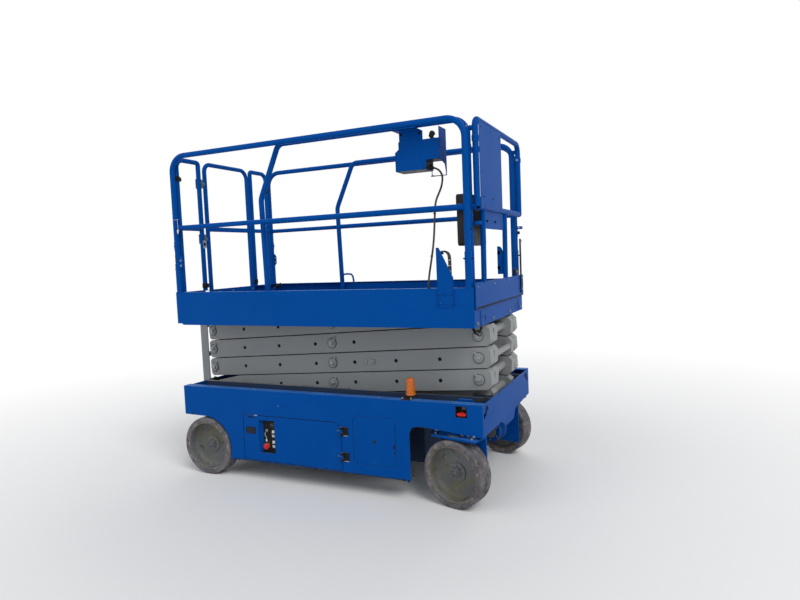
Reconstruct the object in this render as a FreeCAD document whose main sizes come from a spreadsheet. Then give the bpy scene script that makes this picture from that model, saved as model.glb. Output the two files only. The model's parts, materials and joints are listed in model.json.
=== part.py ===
import FreeCAD, Part
import Sketcher

import math
import os

V = FreeCAD.Vector
X_AXIS, Y_AXIS, Z_AXIS = V(1, 0, 0), V(0, 1, 0), V(0, 0, 1)

doc = FreeCAD.newDocument("ScissorLift")
sheet = doc.addObject("Spreadsheet::Sheet", "Sizes")

# Driving dimensions in mm and degrees. Columns: alias, value, what it sizes.
DRIVING = [
    ("mid_x", 57, "middle of the wheelbase, ahead of the middle of the footprint"),
    ("wheelbase", 1850, "front axle to rear axle"),
    ("tyre_radius", 203, "outside of the solid tyre"),
    ("tyre_width", 114, "solid tyre across its tread"),
    ("tyre_depth", 34, "thickness of the rubber ring"),
    ("rim_wall", 7, "wall of the wheel's drum"),
    ("rim_dish", 72, "depth of the wheel's disc below its outer edge"),
    ("hub_radius", 46, "raised hub of the wheel"),
    ("axle_radius", 20, "stub axle"),
    ("steer_rest", 14, "front wheels turned towards the near side"),
    ("kingpin_radius", 32, "kingpin tube"),
    ("end_overhang", 185, "axle to the end of the chassis"),
    ("chassis_width", 1170, "over the side skirts, level with the outside of the tyres"),
    ("end_lift", 32, "underside of the chassis ends above the tyres"),
    ("pan_lift", 70, "floor of the well below the arms, above the tyres"),
    ("pin_lift", 111, "lowest arm pins above the floor of the well"),
    ("rim_lift", 41, "top of the chassis above the lowest arm pins"),
    ("skirt_bottom", 141, "underside of the side skirts"),
    ("front_reach", 275, "front axle to the low skirt"),
    ("rear_reach", 207, "rear axle to the end of the low skirt's foot"),
    ("chassis_plate", 6, "plate of the chassis"),
    ("rim_flange", 62, "flange turned in along the chassis top"),
    ("arch_round", 48, "round at the front arch's top corner"),
    ("arch_gap", 14, "rear arch to the tyre"),
    ("cover_height", 308, "cover ahead of the tray doors"),
    ("cover_length", 296, "cover ahead of the tray doors"),
    ("groove", 5, "groove round the cover"),
    ("groove_depth", 3, "depth of the groove round the cover"),
    ("recess_width", 70, "switch recess near the front end"),
    ("recess_height", 68, "switch recess near the front end"),
    ("recess_depth", 40, "switch recess behind the skirt's face"),
    ("door_rear_gap", 128, "end of the low skirt to the rear edge of a tray door"),
    ("door_front_gap", 474, "front end of the low skirt to the front edge of a tray door"),
    ("door_lift", 8, "lower edge of a tray door above the skirt's"),
    ("door_height", 304, "height of a tray door"),
    ("door_chamfer", 26, "cut corner of a tray door"),
    ("door_gap", 5, "space round a tray door"),
    ("hinge_pin", 4, "radius of the tray hinges' pins"),
    ("guard_pin", 7, "radius of the pothole guards' shafts"),
    ("guard_depth", 96, "reach of a pothole guard when it is down"),
    ("tray_space", 285, "skirt's face to the sump box between the trays"),
    ("front_pin_gap", 90, "chassis front to the fixed arm pins"),
    ("pin_margins", 160, "chassis length beyond the pins, both ends together"),
    ("arm_height", 127, "arm tube, high side"),
    ("arm_width", 80, "arm tube, wide side"),
    ("arm_wall", 6, "wall of an arm tube"),
    ("arm_gap", 7, "space between an outer arm and an inner arm"),
    ("stage_gap", 7.5, "space between the arms of one stage and the next while folded"),
    ("stack_width", 668, "over the outer arms"),
    ("raised_tilt", 62.4, "steepest arm that the roller tracks have room for"),
    ("arm_head", 75, "arm beyond its front pin"),
    ("arm_tail", 35, "arm beyond its rear pin"),
    ("head_cut", 25, "cut corners at the front end of an arm"),
    ("tail_cut", 15, "cut corners at the rear end of an arm"),
    ("pin_radius", 20, "arm pins"),
    ("pin_fit", 0.08, "running clearance round a pin"),
    ("cap_radius", 27, "washer on the end of an arm pin"),
    ("cap_gap", 0.5, "space between a washer and the arm"),
    ("cap_depth", 9, "height of a pin's washer and nut"),
    ("cross_tube", 30, "radius of the tubes between inner arms"),
    ("roller_radius", 30, "rollers of the sliding arm ends"),
    ("roller_width", 26, "rollers across"),
    ("side_gap", 2, "a roller from the arm and from its track's web"),
    ("track_gap", 0.5, "roller to each flange of its track"),
    ("track_wall", 6, "wall of a roller track"),
    ("inspection_hole", 10, "radius of the holes along an outer arm"),
    ("first_hole", 253, "front pin to the first hole of an outer arm"),
    ("last_hole", 289.5, "last hole of an outer arm to the rear pin"),
    ("deck_front_gap", 30, "chassis front to the platform's"),
    ("deck_rear_gap", 25, "chassis rear to the platform's"),
    ("deck_inset", 10, "platform's side plates in from the chassis sides"),
    ("pivot_drop", 45, "upper arm pins below the walking surface"),
    ("side_drop", 104, "side plates below the walking surface"),
    ("toe_height", 127, "side plates above the walking surface"),
    ("rail_height", 1100, "top of the rails above the walking surface"),
    ("mid_rail_height", 584, "centre line of the mid rails above the walking surface"),
    ("deck_plate", 4, "plate of the deck"),
    ("rail_radius", 18, "outside of the rail tube"),
    ("rail_wall", 3, "wall of the rail tube"),
    ("rail_bend", 110, "bend of the rail tube's centre line"),
    ("rail_inset", 20, "rail centre line in from the deck's side"),
    ("socket_wall", 3, "wall of the sockets that the posts stand in"),
    ("socket_height", 203, "sockets above the side plates"),
    ("extension_inset", 75, "extension rail centre line in from the deck's side"),
    ("extension_length", 1480, "platform's front to the extension deck's rear"),
    ("post_setback", 33, "front rail posts behind the deck's front"),
    ("ladder_reach", 137.6, "chassis end to the back of the ladder"),
    ("ladder_width", 470, "over the ladder's side rails"),
    ("ladder_height", 940, "ladder's side rails"),
    ("arm_clear", 6, "flanges of a roller track from the arm beside them"),
    ("barrel_radius", 48, "lift cylinder's barrel"),
    ("rod_radius", 28, "lift cylinder's rod"),
    ("barrel_pin_gap", 120, "rear arm pin to the lift cylinder's lower pin"),
    ("rod_pin", 190, "lift cylinder's upper pin along the third inner arm"),
    ("rod_showing", 253, "lift cylinder's rod outside its barrel while folded"),
    ("lug_tube_ahead", 52, "tube that carries the lift cylinder's lugs, ahead of the third front pin"),
    ("steer_arm", 130, "kingpin to tie rod"),
    ("tie_pin", 8, "radius of the tie rod's pins"),
    ("box_length", 283, "control box along the rail"),
    ("box_depth", 120, "control box across"),
    ("box_setback", 222, "control box behind the platform's front"),
    ("bracket_width", 99, "cable bracket along the rail"),
    ("hank_radius", 28, "bend of the spare cable's bundle"),
    ("bundle_radius", 12, "outside of the spare cable's bundle"),
]


class Size:
    """A length that carries its value and the formula it comes from."""

    def __init__(self, value, formula):
        self.value, self.formula = value, formula

    def __add__(self, other):
        return join(self, "+", other, self.value + number(other))

    def __radd__(self, other):
        return join(other, "+", self, number(other) + self.value)

    def __sub__(self, other):
        return join(self, "-", other, self.value - number(other))

    def __rsub__(self, other):
        return join(other, "-", self, number(other) - self.value)

    def __mul__(self, other):
        return join(self, "*", other, self.value * number(other))

    def __rmul__(self, other):
        return join(other, "*", self, number(other) * self.value)

    def __truediv__(self, other):
        return join(self, "/", other, self.value / number(other))

    def __neg__(self):
        return join(-1, "*", self, -self.value)


def number(size):
    return size.value if isinstance(size, Size) else size


def formula(size):
    return size.formula if isinstance(size, Size) else repr(size)


def join(left, sign, right, value):
    return Size(value, f"({formula(left)} {sign} {formula(right)})")


def of_angle(name, angle):
    """Sine, cosine or tangent of an angle in degrees."""
    return Size(getattr(math, name)(math.radians(number(angle))), f"{name}({formula(angle)})")


def angle_of(name, ratio):
    """The angle in degrees that has this sine or tangent."""
    return Size(math.degrees(getattr(math, name)(number(ratio))), f"{name}({formula(ratio)})")


class Sheet:
    """The driving dimensions by name."""


S = Sheet()
for row, (alias, value, note) in enumerate(DRIVING, start=1):
    sheet.set(f"A{row}", str(value))
    sheet.setAlias(f"A{row}", alias)
    sheet.set(f"B{row}", note)
    setattr(S, alias, Size(value, f"Sizes.{alias}"))
doc.recompute()


def bind(item, path, size):
    """Set a property from a size, and keep it tied to the sheet."""
    if isinstance(size, Size):
        item.setExpression(path, size.formula)
    else:
        item.setExpression(path, repr(float(size)))


def place(item, x=0, y=0, z=0, axis=None, angle=0):
    """Put an object at a point, turned about an axis."""
    if axis is not None:
        item.Placement = FreeCAD.Placement(V(0, 0, 0), FreeCAD.Rotation(axis, number(angle)))
        if isinstance(angle, Size):
            bind(item, "Placement.Rotation.Angle", angle)
    bind(item, "Placement.Base.x", x)
    bind(item, "Placement.Base.y", y)
    bind(item, "Placement.Base.z", z)


def new_body(label):
    body = doc.addObject("PartDesign::Body", label)
    body.Label = label
    body.AllowCompound = True
    return body


def origin_plane(body, role):
    return next(item for item in body.Origin.OriginFeatures if item.Role == role)


def draw(body, name, role, outline=(), circles=(), offset=0):
    """A sketch on an origin plane. Outline points are (x, y), circles are (x, y, radius)."""
    sketch = body.newObject("Sketcher::SketchObject", name)
    sketch.AttachmentSupport = [(origin_plane(body, role), "")]
    sketch.MapMode = "FlatFace"
    bind(sketch, "AttachmentOffset.Base.z", offset)
    count = len(outline)
    for i in range(count):
        start, end = outline[i], outline[(i + 1) % count]
        sketch.addGeometry(Part.LineSegment(V(number(start[0]), number(start[1]), 0),
                                            V(number(end[0]), number(end[1]), 0)))
    for i in range(count):
        sketch.addConstraint(Sketcher.Constraint("Coincident", i, 2, (i + 1) % count, 1))
    for i, point in enumerate(outline):
        tie(sketch, "DistanceX", i, 1, point[0], f"x{i}")
        tie(sketch, "DistanceY", i, 1, point[1], f"y{i}")
    for k, (x, y, radius) in enumerate(circles):
        i = sketch.addGeometry(Part.Circle(V(number(x), number(y), 0), Z_AXIS, number(radius)))
        tie(sketch, "DistanceX", i, 3, x, f"cx{k}")
        tie(sketch, "DistanceY", i, 3, y, f"cy{k}")
        index = sketch.addConstraint(Sketcher.Constraint("Radius", i, number(radius)))
        sketch.renameConstraint(index, f"r{k}")
        bind(sketch, f"Constraints.r{k}", radius)
    return sketch


def tie(sketch, kind, item, end, size, name):
    """Hold one coordinate of a sketch point at a size."""
    index = sketch.addConstraint(Sketcher.Constraint(kind, -1, 1, item, end, number(size)))
    sketch.renameConstraint(index, name)
    bind(sketch, f"Constraints.{name}", size)


def pad(body, name, role, start, depth, outline=(), circles=()):
    """Material between start and start + depth, measured along the plane's normal."""
    feature = body.newObject("PartDesign::Pad", name)
    feature.Profile = draw(body, name + "_outline", role, outline, circles, start)
    bind(feature, "Length", depth)
    return feature


def pocket(body, name, role, start, depth, outline=(), circles=()):
    """A cut between start and start + depth, measured along the plane's normal."""
    feature = body.newObject("PartDesign::Pocket", name)
    feature.Profile = draw(body, name + "_outline", role, outline, circles, start + depth)
    bind(feature, "Length", depth)
    return feature


def mirror(body, name, role, features):
    """Repeat features on the other side of an origin plane."""
    copy = body.newObject("PartDesign::Mirrored", name)
    copy.Originals = features
    copy.MirrorPlane = (origin_plane(body, role), [""])
    body.Tip = copy
    return copy


def both_sides(body, name):
    """Repeat all features of a body on the far side."""
    features = [item for item in body.Group if item.isDerivedFrom("PartDesign::FeatureAddSub")]
    doc.recompute()
    mirror(body, name, "XZ_Plane", features)


def rectangle(x0, y0, x1, y1):
    return [(x0, y0), (x1, y0), (x1, y1), (x0, y1)]


def block(name, x0, x1, y0, y1, z0, z1):
    """A box between two corners."""
    item = doc.addObject("Part::Box", name)
    bind(item, "Length", x1 - x0)
    bind(item, "Width", y1 - y0)
    bind(item, "Height", z1 - z0)
    place(item, x0, y0, z0)
    return item


def rod(name, radius, length, x, y, z, axis=Z_AXIS):
    """A round bar that starts at a point and runs along X, Y or Z."""
    item = doc.addObject("Part::Cylinder", name)
    bind(item, "Radius", radius)
    bind(item, "Height", length)
    turn = {(1, 0, 0): (Y_AXIS, 90), (0, 1, 0): (X_AXIS, -90), (0, 0, 1): (None, 0)}
    about, angle = turn[tuple(axis)]
    place(item, x, y, z, about, angle)
    return item


def fuse(label, *items):
    item = doc.addObject("Part::MultiFuse", label)
    item.Label = label
    item.Shapes = list(items)
    return item


def cut(label, base, *tools):
    item = doc.addObject("Part::Cut", label)
    item.Label = label
    item.Base = base
    item.Tool = tools[0] if len(tools) == 1 else fuse(label + "_tools", *tools)
    return item


def compound(label, *items):
    """Separate solids that share a node."""
    item = doc.addObject("Part::Compound", label)
    item.Label = label
    item.Links = list(items)
    return item


def span(one, other):
    """Two places in rising order."""
    return sorted((one, other), key=number)


def shaped(label, shape):
    """A sub-part whose shape is worked out below from the sheet's sizes."""
    item = doc.addObject("Part::Feature", label)
    item.Label = label
    item.Shape = shape
    return item


NODES = []


def node(item, label=None):
    """List a finished sub-part."""
    if label:
        item.Label = label
    NODES.append(item)
    return item


# Stations along the machine, measured from the middle of its footprint
front_axle = S.mid_x + S.wheelbase / 2
rear_axle = S.mid_x - S.wheelbase / 2
chassis_front = front_axle + S.end_overhang
chassis_rear = rear_axle - S.end_overhang
skirt_front = front_axle - S.front_reach
skirt_rear = rear_axle + S.rear_reach
front_pins = chassis_front - S.front_pin_gap
pin_span = chassis_front - chassis_rear - S.pin_margins
deck_front = chassis_front - S.deck_front_gap
deck_rear = chassis_rear - S.deck_rear_gap

# Faces across the machine, measured from its middle plane
half_width = S.chassis_width / 2
half_deck = half_width - S.deck_inset
half_track = half_width - S.tyre_width / 2

# Faces across the stack of arms, from its outside in
outer_out = S.stack_width / 2
outer_in = outer_out - S.arm_width
inner_out = outer_in - S.arm_gap
inner_in = inner_out - S.arm_width

# Levels above the ground
pan_top = S.tyre_radius * 2 + S.pan_lift
end_bottom = S.tyre_radius * 2 + S.end_lift
pin_level = pan_top + S.pin_lift
rim_top = pin_level + S.rim_lift
level_pitch = S.arm_height + S.stage_gap
floor_top = pin_level + level_pitch * 4 + S.pivot_drop
deck_bottom = floor_top - S.side_drop
toe_top = floor_top + S.toe_height
rail_top = floor_top + S.rail_height
mid_rail = floor_top + S.mid_rail_height

rest_tilt = angle_of("asin", level_pitch / pin_span)
rear_pins = front_pins - pin_span * of_angle("cos", rest_tilt)
slide_travel = pin_span * (of_angle("cos", rest_tilt) - of_angle("cos", S.raised_tilt))


def level(number_of_stage):
    return pin_level + level_pitch * number_of_stage


def tube_run(points, bends, radius, wall=None):
    """A round tube along straight runs with bends of the given radii at the inner points."""
    edges, last = [], V(*points[0])
    for i in range(1, len(points) - 1):
        corner, before, after = V(*points[i]), V(*points[i - 1]), V(*points[i + 1])
        way_in, way_out = (before - corner).normalize(), (after - corner).normalize()
        half = way_in.getAngle(way_out) / 2
        reach = bends[i - 1] / math.tan(half)
        start, end = corner + way_in * reach, corner + way_out * reach
        middle = (way_in + way_out).normalize()
        crown = corner + middle * (bends[i - 1] / math.sin(half) - bends[i - 1])
        if (start - last).Length > 0.01:
            edges.append(Part.LineSegment(last, start).toShape())
        edges.append(Part.Arc(start, crown, end).toShape())
        last = end
    edges.append(Part.LineSegment(last, V(*points[-1])).toShape())
    path = Part.Wire(edges)
    direction = V(*points[1]) - V(*points[0])

    def swept(size):
        profile = Part.Wire([Part.makeCircle(size, V(*points[0]), direction)])
        return path.makePipeShell([profile], True, True)

    tube = swept(radius)
    if wall:
        tube = tube.cut(swept(radius - wall))
    return tube


def joined(shapes):
    result = shapes[0].multiFuse(shapes[1:])
    return result.removeSplitter()


# Trays swing out through openings in the skirts, on hinges at the front end of their doors
door_rear = skirt_rear + S.door_rear_gap
door_front = skirt_front - S.door_front_gap
door_bottom = S.skirt_bottom + S.door_lift
door_top = door_bottom + S.door_height
hinge_x = door_front + 9
hinge_out = half_width + 10
hinge_levels = (door_bottom + 92, door_bottom + 256)
guard_y = half_width - 20
guard_z = S.skirt_bottom - 7
guard_rear = skirt_rear + 30
guard_front = skirt_front - 30


def door_outline(gap):
    """The door's edge seen from the side, or the edge of its opening."""
    slant = gap * 0.4
    return [
        (door_rear - gap, door_bottom - gap), (door_front + gap, door_bottom - gap),
        (door_front + gap, door_top - S.door_chamfer + slant), (door_front - 36 + slant, door_top + gap),
        (door_rear - gap, door_top + gap),
    ]


def eased(x0, z0, x1, z1, radius):
    """A rectangle with rounded corners, three points to a corner."""
    near, mid = radius, radius * 0.293
    return [
        (x0 + near, z0), (x1 - near, z0), (x1 - mid, z0 + mid), (x1, z0 + near), (x1, z1 - near), (x1 - mid, z1 - mid),
        (x1 - near, z1), (x0 + near, z1), (x0 + mid, z1 - mid), (x0, z1 - near), (x0, z0 + near), (x0 + mid, z0 + mid),
    ]


# Side skirts: end overhangs, low skirt, wheel arches, flange along the top, brackets for the pothole guards,
# the cover's groove and the recess for the switch near the front end
def side_skirts():
    body = new_body("side_skirts")
    arch_radius = S.tyre_radius + S.arch_gap
    arch_top = S.tyre_radius + arch_radius
    front_top = end_bottom + 37
    outline = [
        (chassis_rear, arch_top + 3), (chassis_rear, rim_top), (chassis_front, rim_top),
        (chassis_front, end_bottom), (skirt_front + S.arch_round * 2, front_top),
        (skirt_front + S.arch_round, front_top), (skirt_front + S.arch_round * 0.3, front_top - S.arch_round * 0.3),
        (skirt_front, front_top - S.arch_round), (skirt_front, S.skirt_bottom),
        (rear_axle, S.skirt_bottom), (rear_axle, arch_top),
    ]
    start = half_width - S.chassis_plate
    pad(body, "skirt_plate", "XZ_Plane", start, S.chassis_plate, outline)
    pocket(body, "rear_arch", "XZ_Plane", start, S.chassis_plate, circles=[(rear_axle, S.tyre_radius, arch_radius)])
    pocket(body, "tray_opening", "XZ_Plane", start, S.chassis_plate, door_outline(S.door_gap))
    pad(body, "top_flange", "XY_Plane", rim_top - S.chassis_plate, S.chassis_plate,
        rectangle(chassis_rear, -half_width, chassis_front, -half_width + S.rim_flange))
    for i, x in enumerate((guard_rear - 12, guard_front + 6)):
        pad(body, f"guard_bracket_{i}", "YZ_Plane", x, 6,
            rectangle(-start, guard_z - 13, -guard_y + 13, guard_z + 30),
            [(-guard_y, guard_z, S.guard_pin + S.pin_fit)])
    cover_x, cover_z = skirt_front - 90, S.skirt_bottom + 62
    face = start + S.chassis_plate - S.groove_depth
    pocket(body, "cover_groove", "XZ_Plane", face, S.groove_depth,
           eased(cover_x - S.cover_length, cover_z, cover_x, cover_z + S.cover_height, 34))
    pad(body, "cover", "XZ_Plane", face, S.groove_depth,
        eased(cover_x - S.cover_length + S.groove, cover_z + S.groove, cover_x - S.groove,
              cover_z + S.cover_height - S.groove, 34 - S.groove))
    recess_x, recess_z = chassis_front - 92, rim_top - 12
    low_x, low_z = recess_x - S.recess_width, recess_z - S.recess_height
    pad(body, "recess_box", "XZ_Plane", start + 3 - S.recess_depth, S.recess_depth - 3,
        rectangle(low_x - 3, low_z - 3, recess_x + 3, recess_z + 3))
    pocket(body, "recess", "XZ_Plane", start + 6 - S.recess_depth, S.recess_depth,
           rectangle(low_x, low_z, recess_x, recess_z))
    both_sides(body, "side_skirts_far")
    return body


node(side_skirts())


# Chassis base: pan under the arms, roller tracks, sump box between the trays, cross ribs
def chassis_base():
    web = outer_out + S.side_gap * 2 + S.roller_width
    beam_out = web + S.track_wall
    pan_bottom = pan_top - S.chassis_plate
    end_in = chassis_front - S.chassis_plate
    rear_in = chassis_rear + S.chassis_plate
    flange_top = pin_level + S.roller_radius + S.track_gap
    flange_low = pin_level - S.roller_radius - S.track_gap
    body = new_body("chassis_base")
    pad(body, "pan", "XY_Plane", pan_bottom, S.chassis_plate,
        rectangle(rear_in, -half_width + S.chassis_plate, end_in, half_width - S.chassis_plate))
    for side, name in ((-1, "near"), (1, "far")):
        low, high = span(side * web, side * beam_out)
        pad(body, f"beam_{name}", "XY_Plane", pan_top, rim_top - S.chassis_plate - pan_top,
            rectangle(rear_in, low, end_in, high))
        low, high = span(side * (outer_out + S.arm_clear), side * web)
        pad(body, f"track_top_{name}", "XY_Plane", flange_top, S.track_wall - 1,
            rectangle(rear_in, low, rear_in + slide_travel + 120, high))
        pad(body, f"track_low_{name}", "XY_Plane", flange_low - S.track_wall, S.track_wall,
            rectangle(rear_in, low, rear_in + slide_travel + 120, high))
        low, high = span(side * (inner_out + S.side_gap), side * (outer_out - 40))
        pad(body, f"pin_cheek_{name}", "XY_Plane", pan_top, pin_level + 34 - pan_top,
            rectangle(front_pins - 55, low, front_pins + 55, high))
    half_belly = half_width - S.tray_space
    pad(body, "belly", "XY_Plane", S.skirt_bottom + 12, pan_bottom - S.skirt_bottom - 12,
        rectangle(skirt_rear + 20, -half_belly, skirt_front - 20, half_belly))
    pocket(body, "belly_hollow", "XY_Plane", S.skirt_bottom + 18, pan_bottom - S.skirt_bottom - 18,
           rectangle(skirt_rear + 26, -half_belly + 6, skirt_front - 26, half_belly - 6))
    pocket(body, "pin_bores", "XZ_Plane", -outer_out, outer_out * 2,
           circles=[(front_pins, pin_level, S.pin_radius + S.pin_fit)])
    return body


node(chassis_base())


# Front and rear panels between the skirts
def end_panels():
    body = new_body("end_panels")
    wide = half_width - S.chassis_plate
    front = [
        (-wide, end_bottom), (-wide, rim_top - S.chassis_plate), (wide, rim_top - S.chassis_plate),
        (wide, end_bottom), (175, end_bottom - 10), (120, end_bottom - 66),
        (-60, end_bottom - 66), (-180, end_bottom - 10),
    ]
    rings = [(side * (half_width - 90), rim_top - 38, 16) for side in (-1, 1)]
    pad(body, "front_panel", "YZ_Plane", chassis_front - S.chassis_plate, S.chassis_plate, front, rings)
    pad(body, "rear_panel", "YZ_Plane", chassis_rear, S.chassis_plate,
        rectangle(-wide, end_bottom, wide, rim_top - S.chassis_plate), rings)
    return body


node(end_panels())


# Rear axle: cross beam, hangers up to the pan and the two stub axles
def rear_axle_beam():
    beam_out = half_track - S.tyre_width / 2 - 20
    stub_out = half_track + S.tyre_width / 2 - S.rim_dish - 8
    beam = block("axle_beam", rear_axle - 40, rear_axle + 40, -beam_out, beam_out,
                 S.tyre_radius - 40, S.tyre_radius + 40)
    hangers = [block(f"hanger_{i}", rear_axle - 60, rear_axle + 60, y - 6, y + 6,
                     S.tyre_radius + 40, pan_top - S.chassis_plate)
               for i, y in enumerate((-beam_out + 6, -140, 140, beam_out - 6))]
    stub = rod("axle_stub", S.axle_radius, stub_out * 2, rear_axle, -stub_out, S.tyre_radius, Y_AXIS)
    return fuse("rear_axle", beam, stub, *hangers)


node(rear_axle_beam())


# Wheel, turned about its axle: drum, dished disc, raised hub, closing nut, tyre ring
def wheel_rim(label, x, side):
    half = S.tyre_width / 2
    drum_out = S.tyre_radius - S.tyre_depth
    drum_in = drum_out - S.rim_wall
    disc_face = half - S.rim_dish
    disc_back = disc_face - 10
    bore = S.axle_radius + S.pin_fit
    outline = [
        (bore, disc_back - 18), (S.hub_radius, disc_back - 18), (S.hub_radius + 12, disc_back),
        (drum_in, disc_back - 6), (drum_in, -half + 4), (drum_out, -half + 4), (drum_out, half - 2),
        (drum_in, half - 2), (drum_in - 12, disc_face + 20), (S.hub_radius + 30, disc_face),
        (S.hub_radius, disc_face), (S.hub_radius - 4, disc_face + 9), (bore, disc_face + 9),
    ]
    body = new_body(label)
    spin = body.newObject("PartDesign::Revolution", label + "_turned")
    spin.Profile = draw(body, label + "_section", "XY_Plane", outline)
    spin.ReferenceAxis = (spin.Profile[0], ["V_Axis"])
    spin.Angle = 360
    place(body, x, side * half_track, S.tyre_radius)
    if side < 0:
        body.Placement = FreeCAD.Placement(V(0, 0, 0), FreeCAD.Rotation(Z_AXIS, 180))
    return body


def tyre_ring(label, x, side):
    half = S.tyre_width / 2
    tread, inner = S.tyre_radius, S.tyre_radius - S.tyre_depth
    outline = [(inner, -half), (tread - 9, -half), (tread, -half + 9), (tread, half - 9),
               (tread - 9, half), (inner, half)]
    body = new_body(label)
    spin = body.newObject("PartDesign::Revolution", label + "_turned")
    spin.Profile = draw(body, label + "_section", "XY_Plane", outline)
    spin.ReferenceAxis = (spin.Profile[0], ["V_Axis"])
    spin.Angle = 360
    place(body, x, side * half_track, S.tyre_radius)
    return body


def turned(item, x, side):
    """Place a wheel of the steered axle."""
    facing = 180 if side < 0 else 0
    item.Placement = FreeCAD.Placement(V(0, 0, 0), FreeCAD.Rotation(Z_AXIS, facing - number(S.steer_rest)))
    bind(item, "Placement.Rotation.Angle", facing - S.steer_rest)


for end_name, station in (("rear", rear_axle), ("front", front_axle)):
    for side_name, side in (("near", -1), ("far", 1)):
        pieces = [wheel_rim(f"rim_{end_name}_{side_name}", station, side),
                  tyre_ring(f"tyre_{end_name}_{side_name}", station, side)]
        for piece in pieces:
            if end_name == "front":
                turned(piece, station, side)
            node(piece)


# Steering knuckle: kingpin, plate over the wheel, inner plate, drive motor, arm and pin for the tie rod
def knuckle(label, side):
    motor_face = S.tyre_width / 2 + 8
    plate_low = S.tyre_radius + 9
    plate_top = plate_low + 12
    out, back = side * 58, -side * (motor_face + 12)
    over = new_body(label + "_over")
    pad(over, label + "_over_plate", "XY_Plane", plate_low, plate_top - plate_low,
        [(165, out), (165, back), (-135, back), (-178, -side * 20), (-178, side * 6), (-135, out)])
    leg = block(label + "_leg", -150, 165, *span(-side * motor_face, -side * (motor_face + 12)),
                -S.tyre_radius * 0.45, plate_top)
    post = rod(label + "_post", S.kingpin_radius, kingpin_top - S.tyre_radius - plate_top, 0, 0, plate_top)
    arm = block(label + "_arm", -S.steer_arm - 18, 0, -18, 18, plate_top, plate_top + arm_depth)
    pin = rod(label + "_pin", S.tie_pin, arm_depth + tie_depth + 1, -S.steer_arm, 0, plate_top)
    motor_low, motor_high = span(-side * (motor_face + 12), -side * (motor_face + 132))
    motor = rod(label + "_motor", 78, motor_high - motor_low, 0, motor_low, 0, Y_AXIS)
    stub_low, stub_high = span(-side * motor_face, side * (S.tyre_width / 2 - S.rim_dish + 22))
    stub = rod(label + "_stub", S.axle_radius, stub_high - stub_low, 0, stub_low, 0, Y_AXIS)
    item = fuse(label, over, leg, post, arm, pin, motor, stub)
    place(item, front_axle, side * half_track, S.tyre_radius, Z_AXIS, -S.steer_rest)
    return item


arm_depth = 12
tie_depth = 11
kingpin_top = pan_top - S.chassis_plate - 0.3
for side_name, side in (("near", -1), ("far", 1)):
    node(knuckle(f"knuckle_{side_name}", side))


# Tie rod between the steering arms
def tie_rod():
    low = S.tyre_radius * 2 + 21 + arm_depth + 0.5
    away_x = S.steer_arm * of_angle("cos", S.steer_rest)
    away_y = S.steer_arm * of_angle("sin", S.steer_rest)
    x = front_axle - away_x
    eyes, bores = [], []
    for i, y in enumerate((-half_track + away_y, half_track + away_y)):
        eyes.append(rod(f"tie_eye_{i}", S.tie_pin + 9, tie_depth - 1, x, y, low))
        bores.append(rod(f"tie_bore_{i}", S.tie_pin + S.pin_fit, tie_depth + 1, x, y, low - 1))
    bar = block("tie_bar", x - 9, x + 9, -half_track + away_y + S.tie_pin + 2,
                half_track + away_y - S.tie_pin - 2, low + 0.5, low + tie_depth - 1.5)
    return cut("tie_rod", fuse("tie_rod_body", bar, *eyes), *bores)


node(tie_rod())


# Scissor arms. Local x runs back from the front pin to the rear pin at -pin_span.
half_arm = S.arm_height / 2
top_space = floor_top - S.deck_plate - pin_level - level_pitch * 4 - S.arm_clear


def arm_outline(kind):
    """Corners of an arm seen from the side: plain, or cut low at one end."""
    rear = -pin_span
    front = [(S.arm_head - S.head_cut, half_arm), (S.arm_head, half_arm - S.head_cut),
             (S.arm_head, -half_arm + S.head_cut), (S.arm_head - S.head_cut, -half_arm)]
    back = [(rear - S.arm_tail + S.tail_cut, -half_arm), (rear - S.arm_tail, -half_arm + S.tail_cut),
            (rear - S.arm_tail, half_arm - S.tail_cut), (rear - S.arm_tail + S.tail_cut, half_arm)]
    if kind == "first_outer":
        back[2:] = [(rear - S.arm_tail, 12), (rear - S.arm_tail + 12, 22), (rear + 235, half_arm)]
    if kind == "first_inner":
        head = S.arm_head - 13
        front = [(head - S.head_cut, half_arm), (head, half_arm - S.head_cut),
                 (head, -half_arm + S.head_cut), (head - S.head_cut, -half_arm)]
    if kind == "last_outer":
        front = [(-440, half_arm), (0, top_space), (24, top_space - 10), (35, 8), (35, -25), (-14, -half_arm)]
    if kind == "last_inner":
        back = [(rear - 14, -half_arm), (rear - 35, -25), (rear - 35, 8), (rear - 24, top_space - 10),
                (rear, top_space), (rear + 440, half_arm)]
    return back + front


def hollow(body, kind, start):
    """Empty the tube between the solid blocks that hold the pins."""
    rear_block = {"first_outer": 250, "last_inner": 450}.get(kind, 110)
    front_block = {"last_outer": 450}.get(kind, 110)
    middle = -pin_span / 2
    reach = half_arm - S.arm_wall
    for name, x0, x1 in (("rear", -pin_span + rear_block, middle - 90),
                         ("front", middle + 90, -front_block)):
        pocket(body, f"{body.Label}_hollow_{name}", "XZ_Plane", start + S.arm_wall,
               S.arm_width - S.arm_wall * 2, rectangle(x0, -reach, x1, reach))


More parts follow.
